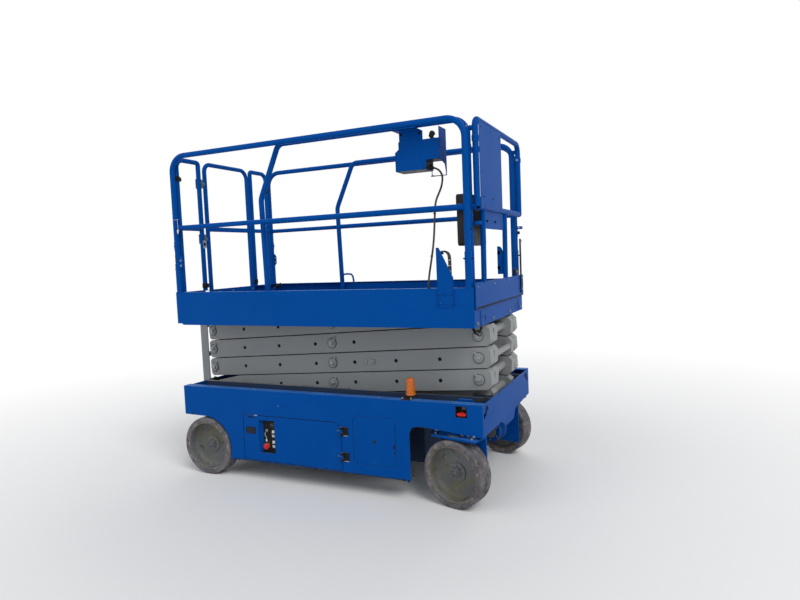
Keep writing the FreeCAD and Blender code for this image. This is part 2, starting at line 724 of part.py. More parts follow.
def outer_arm(stage):
    kind = {1: "first_outer", 4: "last_outer"}.get(stage, "plain")
    label = f"outer_{stage}"
    body = new_body(label)
    pad(body, label + "_tube", "XZ_Plane", outer_in, S.arm_width, arm_outline(kind))
    hollow(body, kind, outer_in)
    bore = S.pin_radius + S.pin_fit
    bores = [(0, 0, bore), (-pin_span / 2, 0, bore)]
    if stage > 1:
        bores.append((-pin_span, 0, bore))
    pocket(body, label + "_bores", "XZ_Plane", outer_in, S.arm_width, circles=bores)
    first, last = {1: (0, 4), 2: (0, 5)}.get(stage, (2, 5))
    pitch = (pin_span - S.first_hole - S.last_hole) / 5
    holes = [(-S.first_hole - pitch * k, 0, S.inspection_hole) for k in range(first, last + 1)]
    pocket(body, label + "_holes", "XZ_Plane", outer_out - S.arm_wall, S.arm_wall, circles=holes)
    if stage == 1:
        pad(body, label + "_roller_pin", "XZ_Plane", outer_out, S.side_gap, circles=[(-pin_span, 0, 14)])
        pad(body, label + "_roller", "XZ_Plane", outer_out + S.side_gap, S.roller_width,
            circles=[(-pin_span, 0, S.roller_radius)])
    both_sides(body, label + "_far")
    place(body, front_pins, 0, level(stage), Y_AXIS, -rest_tilt)
    return body


def inner_arm(stage):
    kind = {1: "first_inner", 4: "last_inner"}.get(stage, "plain")
    label = f"inner_{stage}"
    body = new_body(label)
    pad(body, label + "_tube", "XZ_Plane", inner_in, S.arm_width, arm_outline(kind))
    hollow(body, kind, inner_in)
    pin_ends = [(-pin_span / 2, 0)]
    if stage > 1:
        pin_ends.append((0, 0))
    if stage < 4:
        pin_ends.append((-pin_span, 0))
    through = outer_out - inner_out + S.cap_gap
    pad(body, label + "_pins", "XZ_Plane", inner_out, through, circles=[(x, z, S.pin_radius) for x, z in pin_ends])
    pad(body, label + "_caps", "XZ_Plane", outer_out + S.cap_gap, S.cap_depth,
        circles=[(x, z, S.cap_radius) for x, z in pin_ends])
    tubes = [(S.lug_tube_ahead, 0, 20) if stage == 3 else (0, 0, S.cross_tube)]
    if stage < 4:
        tubes.append((-pin_span, 0, S.cross_tube))
    else:
        tubes.append((-pin_span + 560, -34, 18))
    pad(body, label + "_cross_tubes", "XZ_Plane", 0, inner_in, circles=tubes)
    if stage == 1:
        pad(body, label + "_chassis_pin", "XZ_Plane", inner_out, outer_out - 38 - inner_out,
            circles=[(0, 0, S.pin_radius)])
        pad(body, label + "_cylinder_pin", "XZ_Plane", 0, inner_in, circles=[(-barrel_pin, 0, eye_bore)])
    if stage == 3:
        pad(body, label + "_lugs", "XZ_Plane", 31, 12,
            [(S.lug_tube_ahead, 19), (-S.rod_pin + 20, 36), (-S.rod_pin - 26, 26), (-S.rod_pin - 34, 0),
             (-S.rod_pin - 26, -26), (-S.rod_pin + 20, -36), (S.lug_tube_ahead, -19)])
    if stage == 4:
        pad(body, label + "_roller_pin", "XZ_Plane", inner_in - S.side_gap, S.side_gap,
            circles=[(-pin_span, 0, 14)])
        pad(body, label + "_roller", "XZ_Plane", inner_in - S.side_gap - S.roller_width, S.roller_width,
            circles=[(-pin_span, 0, S.roller_radius)])
    both_sides(body, label + "_far")
    place(body, front_pins, 0, level(stage - 1), Y_AXIS, rest_tilt)
    return body


barrel_pin = pin_span - S.barrel_pin_gap
eye_bore = 22
for stage in range(1, 5):
    node(inner_arm(stage))
    node(outer_arm(stage))


# Lift cylinder between the first and the third inner arm
cylinder_run = (barrel_pin - S.rod_pin) * of_angle("cos", rest_tilt)
cylinder_rise = level_pitch * 2 - (barrel_pin - S.rod_pin) * of_angle("sin", rest_tilt)
cylinder_tilt = angle_of("atan", cylinder_rise / cylinder_run)
cylinder_reach = cylinder_run / of_angle("cos", cylinder_tilt)
barrel_length = cylinder_reach - S.rod_showing
barrel_x = front_pins - barrel_pin * of_angle("cos", rest_tilt)
barrel_z = level(0) + barrel_pin * of_angle("sin", rest_tilt)


def lift_barrel():
    eye = rod("barrel_eye", S.barrel_radius, 60, 0, -30, 0, Y_AXIS)
    tube = rod("barrel_tube", S.barrel_radius, barrel_length - 40, 40, 0, 0, X_AXIS)
    gland = rod("barrel_gland", S.barrel_radius + 6, 40, barrel_length, 0, 0, X_AXIS)
    bore = rod("barrel_bore", S.rod_radius + S.pin_fit, barrel_length, 90, 0, 0, X_AXIS)
    pin = rod("barrel_pin_bore", eye_bore + S.pin_fit, 200, 0, -100, 0, Y_AXIS)
    item = cut("lift_barrel", fuse("barrel_body", eye, tube, gland), bore, pin)
    place(item, barrel_x, 0, barrel_z, Y_AXIS, -cylinder_tilt)
    return item


def lift_rod():
    shaft = rod("rod_shaft", S.rod_radius, cylinder_reach - 110 - 30, 110, 0, 0, X_AXIS)
    eye = rod("rod_eye", 40, 50, cylinder_reach, -25, 0, Y_AXIS)
    pin = rod("rod_eye_pin", 15, 54, cylinder_reach, -27, 0, Y_AXIS)
    item = fuse("lift_rod", shaft, eye, pin)
    place(item, barrel_x, 0, barrel_z, Y_AXIS, -cylinder_tilt)
    return item


node(lift_barrel())
node(lift_rod())


# Pothole guards: flaps under the trays that swing down behind the skirts' lower edges
def pothole_guard(label, side):
    shaft = rod(label + "_shaft", S.guard_pin, guard_front - guard_rear + 24, guard_rear - 12, side * guard_y,
                guard_z, X_AXIS)
    flap = block(label + "_flap", guard_rear, guard_front, *span(side * guard_y, side * (guard_y - S.guard_depth)),
                 guard_z - 3, guard_z + 3)
    tip_low, tip_high = span(side * (guard_y - S.guard_depth), side * (guard_y - S.guard_depth - 5))
    lip = block(label + "_lip", guard_rear, guard_front, tip_low, tip_high, guard_z - 12, guard_z + 3)
    return fuse(label, shaft, flap, lip)


for side_name, side in (("near", -1), ("far", 1)):
    node(pothole_guard(f"guard_{side_name}", side))


# Doors, their hinges and the trays behind them
control_x0, control_x1 = door_rear + 128, door_rear + 256
control_z0, control_z1 = door_bottom + 54, door_bottom + 278
barrel_wall = 4.5


def tray_door(label, side, window):
    body = new_body(label + "_plate")
    start = half_width - S.chassis_plate if side < 0 else -half_width
    pad(body, label + "_sheet", "XZ_Plane", start, S.chassis_plate, door_outline(0))
    if window:
        pocket(body, label + "_window", "XZ_Plane", start, S.chassis_plate,
               rectangle(control_x0, control_z0, control_x1, control_z1))
    pocket(body, label + "_slot", "XZ_Plane", start, S.chassis_plate,
           rectangle(door_rear + 38, door_top - 17, door_rear + 96, door_top - 8))
    face = start + S.chassis_plate - 3 if side < 0 else start
    pocket(body, label + "_latch_recess", "XZ_Plane", face, 3,
           rectangle(door_rear + 18, door_top - 124, door_rear + 98, door_top - 79))
    pieces, bores = [body], []
    for i, z in enumerate(hinge_levels):
        face = side * half_width
        pieces.append(block(f"{label}_strap_{i}", door_front - 26, hinge_x, *span(face, face + side * 4), z - 9, z + 9))
        pieces.append(block(f"{label}_link_{i}", hinge_x - 6, hinge_x, *span(face + side * 2, side * hinge_out),
                            z - 9, z + 9))
        pieces.append(rod(f"{label}_knuckle_{i}", S.hinge_pin + barrel_wall, 18, hinge_x, side * hinge_out, z - 9))
        bores.append(rod(f"{label}_bore_{i}", S.hinge_pin + S.pin_fit, 30, hinge_x, side * hinge_out, z - 15))
    return cut(label, fuse(label + "_body", *pieces), *bores)


def hinge_set(side):
    """Black leaves on the skirt with the pins that a door turns on."""
    pieces = []
    face = side * half_width
    for i, z in enumerate(hinge_levels):
        name = f"leaf_{i}_{'near' if side < 0 else 'far'}"
        pieces.append(block(name, hinge_x + 10, hinge_x + 46, *span(face, face + side * 4), z - 27, z + 27))
        pieces.append(rod(name + "_pin", S.hinge_pin, 54, hinge_x, side * hinge_out, z - 27))
        for j, foot in enumerate((z - 27, z + 11)):
            pieces.append(rod(f"{name}_barrel_{j}", S.hinge_pin + barrel_wall, 16, hinge_x, side * hinge_out, foot))
            pieces.append(block(f"{name}_web_{j}", hinge_x, hinge_x + 12, *span(face + side * 2, side * hinge_out),
                                foot, foot + 16))
    return fuse("hinge_set_near" if side < 0 else "hinge_set_far", *pieces)


def tray(label, side):
    """Tray floor, its inner wall and the heavy block that it carries."""
    door_face = half_width - S.chassis_plate
    back = half_width - S.tray_space + 16
    x0, x1 = door_rear + 60, door_front - 12
    floor_low = door_bottom + 4
    floor = block(label + "_floor", x0, x1, *span(side * door_face, side * back), floor_low, floor_low + 5)
    wall = block(label + "_wall", x0, x1, *span(side * back, side * (back + 4)), floor_low + 5, floor_low + 48)
    load = block(label + "_load", x0 + 20, x1 - 20, *span(side * (door_face - 70), side * (back + 12)),
                 floor_low + 5, door_top - 12)
    return fuse(label, floor, wall, load)


for side_name, side in (("near", -1), ("far", 1)):
    node(tray_door(f"door_{side_name}", side, side < 0))
    node(tray(f"tray_{side_name}", side))
node(compound("tray_hinges", hinge_set(-1), hinge_set(1)))


def ground_controls():
    """Panel set back in the near door's window, with its push button, key and rocker switches."""
    back = -half_width + S.chassis_plate
    floor = back + 22
    box = block("controls_box", control_x0 - 8, control_x1 + 8, back, back + 40, control_z0 - 8, control_z1 + 8)
    well = block("controls_well", control_x0, control_x1, back - 1, floor, control_z0, control_z1)
    shell = cut("controls_shell", box, well)
    button = rod("stop_button", 14, 12, control_x0 + 46, floor - 22, control_z0 + 42, Y_AXIS)
    stem = rod("stop_stem", 8, 12, control_x0 + 46, floor - 11, control_z0 + 42, Y_AXIS)
    switches = [block(f"rocker_{i}", control_x1 - 36, control_x1 - 16, floor - 5, floor, z, z + 24)
                for i, z in enumerate((control_z0 + 30, control_z0 + 70, control_z0 + 110))]
    key = rod("key_switch", 9, 8, control_x1 - 26, floor - 7, control_z1 - 36, Y_AXIS)
    return fuse("ground_controls", shell, button, stem, key, *switches)


node(ground_controls())


# Ladder behind the rear panel: two folded side rails and flat rungs
def ladder():
    back = chassis_rear - S.ladder_reach
    half = S.ladder_width / 2
    rail_depth = 68
    top = floor_top + 70
    low = top - S.ladder_height
    body = new_body("ladder")
    pad(body, "ladder_rail", "XZ_Plane", half - 6, 6,
        [(back, low), (back + rail_depth, low), (back + rail_depth, top), (back + 18, top), (back, top - 18)])
    for i in range(4):
        z = low + 30 + (S.ladder_height - 40) / 4 * i
        pad(body, f"ladder_rung_{i}", "XZ_Plane", 0, half - 6, rectangle(back + 8, z, back + rail_depth - 8, z + 26))
    for i, z in enumerate((rim_top - 158, rim_top - 38)):
        pad(body, f"ladder_bracket_{i}", "XZ_Plane", half - 12, 6,
            rectangle(back + rail_depth - 20, z - 20, chassis_rear, z + 20))
    both_sides(body, "ladder_far")
    return body


node(ladder())


# Beacon on the near rim
beacon_x, beacon_y = skirt_front - 16, -half_width + 85


def beacon_base():
    foot = rod("beacon_foot", 36, 8, beacon_x, beacon_y, rim_top + 4)
    tab = block("beacon_tab", beacon_x - 30, beacon_x + 30, -half_width + 6, beacon_y + 30, rim_top, rim_top + 4)
    return fuse("beacon_base", foot, tab)


def beacon_lens():
    body = new_body("beacon_lens")
    spin = body.newObject("PartDesign::Revolution", "lens_turned")
    outline = [(0, 0), (31, 0), (31, 14), (25, 96), (19, 106), (0, 110)]
    spin.Profile = draw(body, "lens_section", "XZ_Plane", outline)
    spin.ReferenceAxis = (spin.Profile[0], ["V_Axis"])
    spin.Angle = 360
    place(body, beacon_x, beacon_y, rim_top + 12)
    return body


node(beacon_base())
node(beacon_lens())


# Platform: floor, folded side plates, end plates
rail_y = half_deck - S.rail_inset
extension_y = half_deck - S.extension_inset
rail_line = rail_top - S.rail_radius
rear_posts = deck_rear + 20
front_posts = deck_front - S.post_setback
gate_side, gate_far = 268, 290


def deck():
    body = new_body("deck")
    flange = toe_top - S.deck_plate
    pad(body, "deck_floor", "XY_Plane", floor_top - S.deck_plate, S.deck_plate,
        rectangle(deck_rear, -half_deck, deck_front - 6, half_deck))
    pad(body, "deck_side", "XZ_Plane", half_deck - S.deck_plate, S.deck_plate,
        [(deck_rear, deck_bottom + 10), (deck_rear, toe_top), (deck_front, toe_top),
         (deck_front, deck_bottom), (deck_rear + 50, deck_bottom), (deck_rear + 40, deck_bottom + 10)])
    pad(body, "deck_flange", "XY_Plane", flange, S.deck_plate,
        rectangle(deck_rear, -half_deck, deck_front, -half_deck + 40))
    pad(body, "deck_front_plate", "YZ_Plane", deck_front - 6, 6,
        rectangle(-half_deck, deck_bottom, 0, floor_top))
    pad(body, "deck_rear_low", "YZ_Plane", deck_rear, S.deck_plate,
        rectangle(-half_deck, deck_bottom + 34, 0, floor_top))
    pad(body, "deck_rear_toe", "YZ_Plane", deck_rear, S.deck_plate,
        rectangle(-half_deck, floor_top, -gate_side - 12, toe_top))
    pad(body, "deck_rear_flange", "XY_Plane", flange, S.deck_plate,
        rectangle(deck_rear, -half_deck, deck_rear + 40, -gate_side - 12))
    both_sides(body, "deck_far")
    return body


def deck_frame():
    """Under the floor: tracks for the sliding arm ends, pivot cheeks and shaft, cross channels."""
    z = level(4)
    under = floor_top - S.deck_plate
    web_out = inner_in - S.side_gap * 2 - S.roller_width
    web_in = web_out - S.track_wall
    x0 = rear_pins - 70
    x1 = rear_pins + slide_travel + 60
    grip = S.roller_radius + S.track_gap
    lip = inner_in - S.arm_clear - web_out
    shaft_out = outer_out + 16
    body = new_body("deck_frame")
    pad(body, "track_web", "XZ_Plane", web_in, S.track_wall, rectangle(x0, z - grip - S.track_wall, x1, under))
    pad(body, "track_low", "XZ_Plane", web_out, lip, rectangle(x0, z - grip - S.track_wall, x1, z - grip))
    pad(body, "track_top", "XZ_Plane", web_out, lip, rectangle(x0, z + grip, x1, under))
    pad(body, "pivot_cheek", "XZ_Plane", outer_out + 4, 12,
        [(front_pins - 60, under), (front_pins - 40, z - 26), (front_pins - 20, z - 34), (front_pins + 20, z - 34),
         (front_pins + 40, z - 26), (deck_front - 6, under)])
    pad(body, "pivot_shaft", "XZ_Plane", 0, shaft_out, circles=[(front_pins, z, S.pin_radius)])
    first_rib, last_rib = deck_rear + 60, S.mid_x + 300
    for i, x in enumerate((first_rib, (first_rib + last_rib) / 2, last_rib)):
        pad(body, f"floor_rib_{i}", "YZ_Plane", x, 40,
            rectangle(-half_deck + S.deck_plate, deck_bottom + 40, -shaft_out - 4, under))
        pad(body, f"floor_rib_mid_{i}", "YZ_Plane", x, 40, rectangle(-web_in, under - 34, 0, under))
    both_sides(body, "deck_frame_far")
    return body


node(deck())
node(deck_frame())


# Rails of round tube. A run is (corner points, bend radii, outer radius).
def tube_frame(runs, extras=()):
    """Tubes joined where they meet, hollow inside."""
    outer, inner = [], []
    wall = number(S.rail_wall)
    for points, bends, radius in runs:
        places = [tuple(number(size) for size in point) for point in points]
        outer.append(tube_run(places, bends, number(radius)))
        inner.append(tube_run(places, bends, number(radius) - wall))
    return joined(joined(outer + list(extras)).cut(inner).Solids)


def socket(x, y):
    """Socket round the foot of a post, and the sleeve over the joint above it."""
    x, y, low = number(x), number(y), number(toe_top)
    outside = number(S.rail_radius + S.socket_wall)
    return [Part.makeCylinder(outside, number(S.socket_height), V(x, y, low)),
            Part.makeCylinder(outside - 1, 56, V(x, y, number(mid_rail) - 155))]


def side_rails():
    """Main side rails: bent top tube with both posts in their sockets, and the mid rail."""
    shapes = []
    bend = number(S.rail_bend)
    for side in (-1, 1):
        y = side * rail_y
        hoop = [(rear_posts, y, toe_top), (rear_posts, y, rail_line), (front_posts, y, rail_line),
                (front_posts, y, toe_top)]
        mid = [(rear_posts, y, mid_rail), (front_posts, y, mid_rail)]
        runs = [(hoop, [bend, bend], S.rail_radius), (mid, [], S.rail_radius - 2)]
        shapes.append(tube_frame(runs, socket(rear_posts, y) + socket(front_posts, y)))
    return shaped("side_rails", Part.makeCompound(shapes))


gate_levels = (number(mid_rail) - 74, number(rail_line) - 162)
gate_pin = 5
gate_barrel = 9
rear_tube = S.rail_radius - 1


def rear_rails():
    """Two half hoops beside the gate, with the gate's hinge pins."""
    top = rail_line - 10
    shapes = []
    for side, post in ((-1, gate_side + 30), (1, gate_far + 14)):
        outer = side * (rail_y - S.rail_radius * 2 - 4)
        inner = side * post
        hoop = [(rear_posts, outer, toe_top), (rear_posts, outer, top), (rear_posts, inner, top),
                (rear_posts, inner, toe_top)]
        mid = [(rear_posts, outer, mid_rail), (rear_posts, inner, mid_rail)]
        extras = gate_pins() if side < 0 else []
        shapes.append(tube_frame([(hoop, [62, 20], rear_tube), (mid, [], rear_tube - 1)], extras))
    return shaped("rails_rear", Part.makeCompound(shapes))


def gate_pins():
    """Hinge pins with their barrels, set off the near half hoop."""
    x = number(rear_posts)
    pieces = []
    for z in gate_levels:
        pieces.append(Part.makeCylinder(gate_pin, 62, V(x, -gate_side, z - 31)))
        for foot in (z - 31, z + 15):
            pieces.append(Part.makeCylinder(gate_barrel, 16, V(x, -gate_side, foot)))
            pieces.append(Part.makeBox(12, 16, 16, V(x - 6, -gate_side - 16, foot)))
    return pieces


def gate():
    """Gate between the half hoops: hoop, flat bar, toe board and hinge knuckles."""
    x = number(rear_posts)
    near, far = -gate_side + 34, gate_far - 34
    foot = number(floor_top) + 24
    top = rail_line - 10
    hoop = [(rear_posts, near, foot), (rear_posts, near, top), (rear_posts, far, top), (rear_posts, far, foot)]
    extras = [Part.makeBox(14, far - near, 34, V(x - 7, near, number(mid_rail) - 17)),
              Part.makeBox(4, far - near + 28, number(toe_top) - foot + 6, V(x + 8, near - 8, foot - 6))]
    bores = []
    for z in gate_levels:
        extras.append(Part.makeBox(12, near + gate_side, 26, V(x - 6, -gate_side, z - 13)))
        extras.append(Part.makeCylinder(gate_barrel, 26, V(x, -gate_side, z - 13)))
        bores.append(Part.makeCylinder(gate_pin + number(S.pin_fit), 50, V(x, -gate_side, z - 25)))
    return shaped("gate", tube_frame([(hoop, [60, 75], 16)], extras).cut(bores))


node(side_rails())
node(rear_rails())
node(gate())


# Extension deck that rolls out over the main floor
extension_rear = deck_front - S.extension_length
extension_low = floor_top + 12
extension_nose = deck_front + 6
nose_rail = front_posts + 46


def extension_deck():
    body = new_body("extension_deck")
    side_y = extension_y + S.rail_radius + 3
    pad(body, "extension_floor", "XY_Plane", extension_low, S.deck_plate,
        rectangle(extension_rear, -side_y, extension_nose, 0))
    pad(body, "extension_side", "XZ_Plane", side_y, S.deck_plate,
        rectangle(extension_rear, extension_low, extension_nose, toe_top - 12))
    pad(body, "extension_front", "YZ_Plane", extension_nose, 6,
        rectangle(-half_deck, floor_top + 4, 0, toe_top + 25))
    pad(body, "extension_roller", "XZ_Plane", side_y - 60, 24,
        circles=[(extension_rear + 40, extension_low - 5.9, 5.9)])
    both_sides(body, "extension_far")
    return body


def extension_rails():
    """Side rails with raked rear posts, front hoop, mid rails and stub posts."""
    rear, rake, crest = extension_rear + 14, extension_rear - 2, extension_rear + 158
    foot = extension_low + S.deck_plate + 0.7
    mid, radius = mid_rail, S.rail_radius
    top, low = rail_line - 8, toe_top + 25
    runs = []
    for side in (-1, 1):
        y = side * extension_y
        hoop = [(rear, y, foot), (rake, y, mid + 152), (crest, y, rail_line), (front_posts, y, rail_line),
                (front_posts, y, foot)]
        runs.append((hoop, [90, 60, 90], radius))
        runs.append(([(rear - 8, y, mid), (front_posts, y, mid)], [], radius - 2))
        runs.append(([(front_posts, y, mid), (nose_rail, y, mid)], [], radius - 4))
        runs.append(([(front_posts, y, top - 50), (nose_rail, y, top - 50)], [], radius - 4))
    wide = extension_y
    runs.append(([(nose_rail, -wide, mid), (nose_rail, -wide, top), (nose_rail, wide, top), (nose_rail, wide, mid)],
                 [40, 60], radius))
    runs.append(([(nose_rail, -wide, mid), (nose_rail, wide, mid)], [], radius))
    for y in (100 - extension_y, 92):
        runs.append(([(extension_nose + 3, y, low), (nose_rail, y, mid)], [], radius - 2))
    return shaped("extension_rails", tube_frame(runs))


node(extension_deck())
node(extension_rails())


def front_board():
    """Flat sheet between the front top rail and the front mid rail, and the short one below it."""
    nose, mid = number(nose_rail), number(mid_rail)
    face = nose + number(S.rail_radius) + 0.3
    near = 6 - number(extension_y)
    upper = Part.makeBox(3, 462, number(rail_top) - 30 - mid, V(face, near, mid - 10))
    lower = Part.makeBox(3, 410, 104, V(nose - 1.5, near + 129, mid - number(S.rail_radius) - 104.3))
    return shaped("front_board", Part.makeCompound([upper, lower]))


def document_box():
    """Rounded box hung behind the front posts of the extension."""
    face = number(front_posts - S.rail_radius) - 0.3
    side = number(S.rail_radius) - 2 + 0.3 - number(extension_y)
    body = Part.makeBox(70, 370, 300, V(face - 70, side, number(mid_rail) - 218))
    edges = [edge for edge in body.Edges if abs(edge.tangentAt(edge.FirstParameter).x) > 0.9]
    return shaped("document_box", body.makeFillet(24, edges))


node(front_board())
node(document_box())


# Operator's control box in its sheet holder, hung from the near main rail inside the extension's
box_x1 = deck_front - S.box_setback
box_x0 = box_x1 - S.box_length
box_y = extension_y - 40
box_top, box_low = rail_top - 95, rail_top - 273
gland_x = box_x1 - 83


def control_box():
    """Holder with its cut lower corner, end plate and hanger, joystick on top, gland in the cut."""
    body = new_body("control_box")
    back = box_y - S.box_depth
    pad(body, "box_shell", "XZ_Plane", back, S.box_depth,
        [(box_x0, box_low), (box_x0, box_low + 114), (box_x0 + 24, box_low + 133), (box_x0 + 24, box_top),
         (box_x1, box_top), (box_x1, box_low + 57), (gland_x, box_low + 57), (gland_x - 4, box_low)])
    pad(body, "end_plate", "YZ_Plane", box_x1, 3,
        [(-box_y, box_low + 57), (-box_y, rail_top - 30), (-back, rail_top - 30), (-back, box_low - 32),
         (-back - 10, box_low - 32), (-back - 32, box_low + 33)])
    pad(body, "foot_wire", "YZ_Plane", gland_x - 4, box_x1 - gland_x + 5,
        rectangle(-back - 6, box_low - 32, -back, box_low - 26))
    pad(body, "foot_drop", "XZ_Plane", back, 6, rectangle(gland_x - 16, box_low - 32, gland_x - 4, box_low))
    hanger_low = rail_line - 32
    rear, front = box_x0 + 30, box_x0 + 182
    pad(body, "hanger_back", "XZ_Plane", box_y - 6, 6, rectangle(rear, box_top, front, hanger_low + 6))
    pad(body, "hanger_arm", "XY_Plane", hanger_low, 6, rectangle(rear, -rail_y - 4, front, -box_y + 6))
    pad(body, "hanger_clamp", "XZ_Plane", rail_y - 2, 6,
        rectangle(rear, hanger_low, front, rail_line - S.rail_radius - 0.3))
    stick_x, stick_y = box_x1 - 60, 60 - box_y
    pad(body, "joystick_boot", "XY_Plane", box_top, 14, circles=[(stick_x, stick_y, 24)])
    pad(body, "joystick", "XY_Plane", box_top + 14, 40, circles=[(stick_x, stick_y, 15)])
    pad(body, "gland", "YZ_Plane", gland_x - 4, 14, circles=[(30 - box_y, box_low + 8, 10)])
    return body


node(control_box())


# Cable from the control box down to the deck's flange
CABLE = [
    (842.3, -430, 2005), (868, -430, 2005), (892, -430.5, 1995), (910.5, -431, 1977), (920.5, -432, 1953),
    (921, -434, 1926), (918, -447, 1888), (912, -475, 1850), (907, -510, 1812), (903, -526, 1766),
    (901, -529, 1714), (898, -532, 1660), (896, -538, 1604), (892, -545, 1548), (884, -549, 1492),
    (874, -551, 1436), (864, -553, 1382), (858, -554, 1338), (857, -554, 1297.2),
]
CABLE_RADIUS = 6


def cord_bends(points):
    """Bend radius at each inner point, from the shorter run beside it."""
    bends = []
    for i in range(1, len(points) - 1):
        before = V(*points[i]) - V(*points[i - 1])
        after = V(*points[i + 1]) - V(*points[i])
        half_turn = before.getAngle(after) / 2
        bends.append(0.45 * min(before.Length, after.Length) / math.tan(half_turn))
    return bends


def cable():
    bends = cord_bends(CABLE)
    print("cable bend radii", [round(bend) for bend in bends])
    shape = tube_run(CABLE, bends, CABLE_RADIUS)
    length = sum((V(*CABLE[i + 1]) - V(*CABLE[i])).Length for i in range(len(CABLE) - 1))
    ratio = shape.Volume / (math.pi * CABLE_RADIUS ** 2 * length)
    print(f"cable length {length:.0f} mm, volume ratio {ratio:.3f}")
    if not 0.97 < ratio < 1.01:
        raise ValueError("the cable's solid does not follow its route")
    return shaped("cable", shape)


# Bracket on the near side plate, and the hank of spare cable that hangs on its peg
bracket_x = deck_front - 218
hank_x = bracket_x + 38
hank_y = -half_deck + S.bundle_radius + 2
hank_top = floor_top + 322


def cable_bracket():
    """Tapered sheet with a peg just below the top bend of the hank."""
    body = new_body("cable_bracket")
    low, high = floor_top + 15, floor_top + 360
    pad(body, "bracket_sheet", "XZ_Plane", half_deck, 3,
        [(bracket_x, low), (bracket_x + S.bracket_width, low), (bracket_x + S.bracket_width, low + 171),
         (bracket_x + 16, high), (bracket_x, high)])
    reach = S.hank_radius - S.bundle_radius - 4.3
    peg = (hank_x - reach * 0.94, hank_top + reach * 0.342, 4)
    pad(body, "bracket_peg", "XZ_Plane", half_deck - 34, 34, circles=[peg])
    return body


def cable_coil():
    """The hank's outer shape: two straight strands between two half turns."""
    straight = 145
    pieces = []
    for name, z, turn in (("top", hank_top, 90), ("low", hank_top - straight, -90)):
        bend = doc.addObject("Part::Torus", f"hank_{name}")
        bind(bend, "Radius1", S.hank_radius)
        bind(bend, "Radius2", S.bundle_radius)
        bend.Angle3 = 180
        place(bend, hank_x, hank_y, z, X_AXIS, turn)
        pieces.append(bend)
    for i, side in enumerate((-1, 1)):
        pieces.append(rod(f"hank_strand_{i}", S.bundle_radius, straight, hank_x + side * S.hank_radius, hank_y,
                          hank_top - straight))
    return fuse("cable_coil", *pieces)


node(cable())
node(cable_bracket())
node(cable_coil())


def check_and_write():
    """Stop on a failed object, then write each sub-part."""
    doc.recompute()
    for item in doc.Objects:
        if "Invalid" in item.State or "Error" in item.State:
            raise RuntimeError(f"{item.Label}: {item.State}")
    os.makedirs("parts", exist_ok=True)
    for item in NODES:
        shape = item.Shape
        if shape.isNull() or not shape.isValid():
            raise RuntimeError(f"{item.Label} has no valid shape")
        shape.exportStep(f"parts/{item.Label}.step")
        box = shape.BoundBox
        print(f"{item.Label}: {len(shape.Solids)} solids, {shape.Volume / 1e9:.5f} m3, "
              f"x {box.XMin:.1f} {box.XMax:.1f}, y {box.YMin:.1f} {box.YMax:.1f}, z {box.ZMin:.1f} {box.ZMax:.1f}")


check_and_write()
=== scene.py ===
import json
import math

import bmesh
import bpy
from mathutils import Matrix, Vector, noise


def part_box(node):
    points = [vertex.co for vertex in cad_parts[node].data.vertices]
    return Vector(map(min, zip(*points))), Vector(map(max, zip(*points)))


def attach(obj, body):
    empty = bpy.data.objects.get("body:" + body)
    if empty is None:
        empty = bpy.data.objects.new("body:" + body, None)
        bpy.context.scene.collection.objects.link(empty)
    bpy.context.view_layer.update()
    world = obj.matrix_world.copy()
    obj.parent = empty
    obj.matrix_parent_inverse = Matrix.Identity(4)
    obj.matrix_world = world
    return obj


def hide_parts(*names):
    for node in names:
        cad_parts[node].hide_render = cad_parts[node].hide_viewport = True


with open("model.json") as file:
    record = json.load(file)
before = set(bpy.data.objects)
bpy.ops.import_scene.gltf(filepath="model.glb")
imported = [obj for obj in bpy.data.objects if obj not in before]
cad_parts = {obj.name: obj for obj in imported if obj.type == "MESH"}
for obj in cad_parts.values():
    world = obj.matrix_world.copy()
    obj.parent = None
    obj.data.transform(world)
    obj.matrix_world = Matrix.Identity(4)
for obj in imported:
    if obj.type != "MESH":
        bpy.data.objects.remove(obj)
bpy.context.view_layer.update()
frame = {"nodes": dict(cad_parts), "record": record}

X, Y, Z = Vector((1, 0, 0)), Vector((0, 1, 0)), Vector((0, 0, 1))
MID = 0.057


# Camera

CAMERA_AT = Vector((2.170, -3.819, 1.486))
CAMERA_YAW, CAMERA_PITCH, CAMERA_ROLL = 0.4309, 0.0712, -0.0408
CAMERA_LENS = 27.14


def place_camera():
    ahead = Vector((-math.sin(CAMERA_YAW) * math.cos(CAMERA_PITCH),
                    math.cos(CAMERA_YAW) * math.cos(CAMERA_PITCH), -math.sin(CAMERA_PITCH)))
    level = Vector((math.cos(CAMERA_YAW), math.sin(CAMERA_YAW), 0))
    upright = level.cross(ahead)
    right = level * math.cos(CAMERA_ROLL) + upright * math.sin(CAMERA_ROLL)
    up = upright * math.cos(CAMERA_ROLL) - level * math.sin(CAMERA_ROLL)
    data = bpy.data.cameras.new("camera")
    data.lens = CAMERA_LENS
    data.sensor_width = 36
    camera = bpy.data.objects.new("camera", data)
    bpy.context.scene.collection.objects.link(camera)
    turn = Matrix((right, up, -ahead)).transposed().to_4x4()
    camera.matrix_world = Matrix.Translation(CAMERA_AT) @ turn
    bpy.context.scene.camera = camera


place_camera()


# Material building blocks

def srgb(red, green, blue):
    def linear(value):
        value /= 255
        return value / 12.92 if value <= 0.04045 else ((value + 0.055) / 1.055) ** 2.4
    return (linear(red), linear(green), linear(blue), 1)


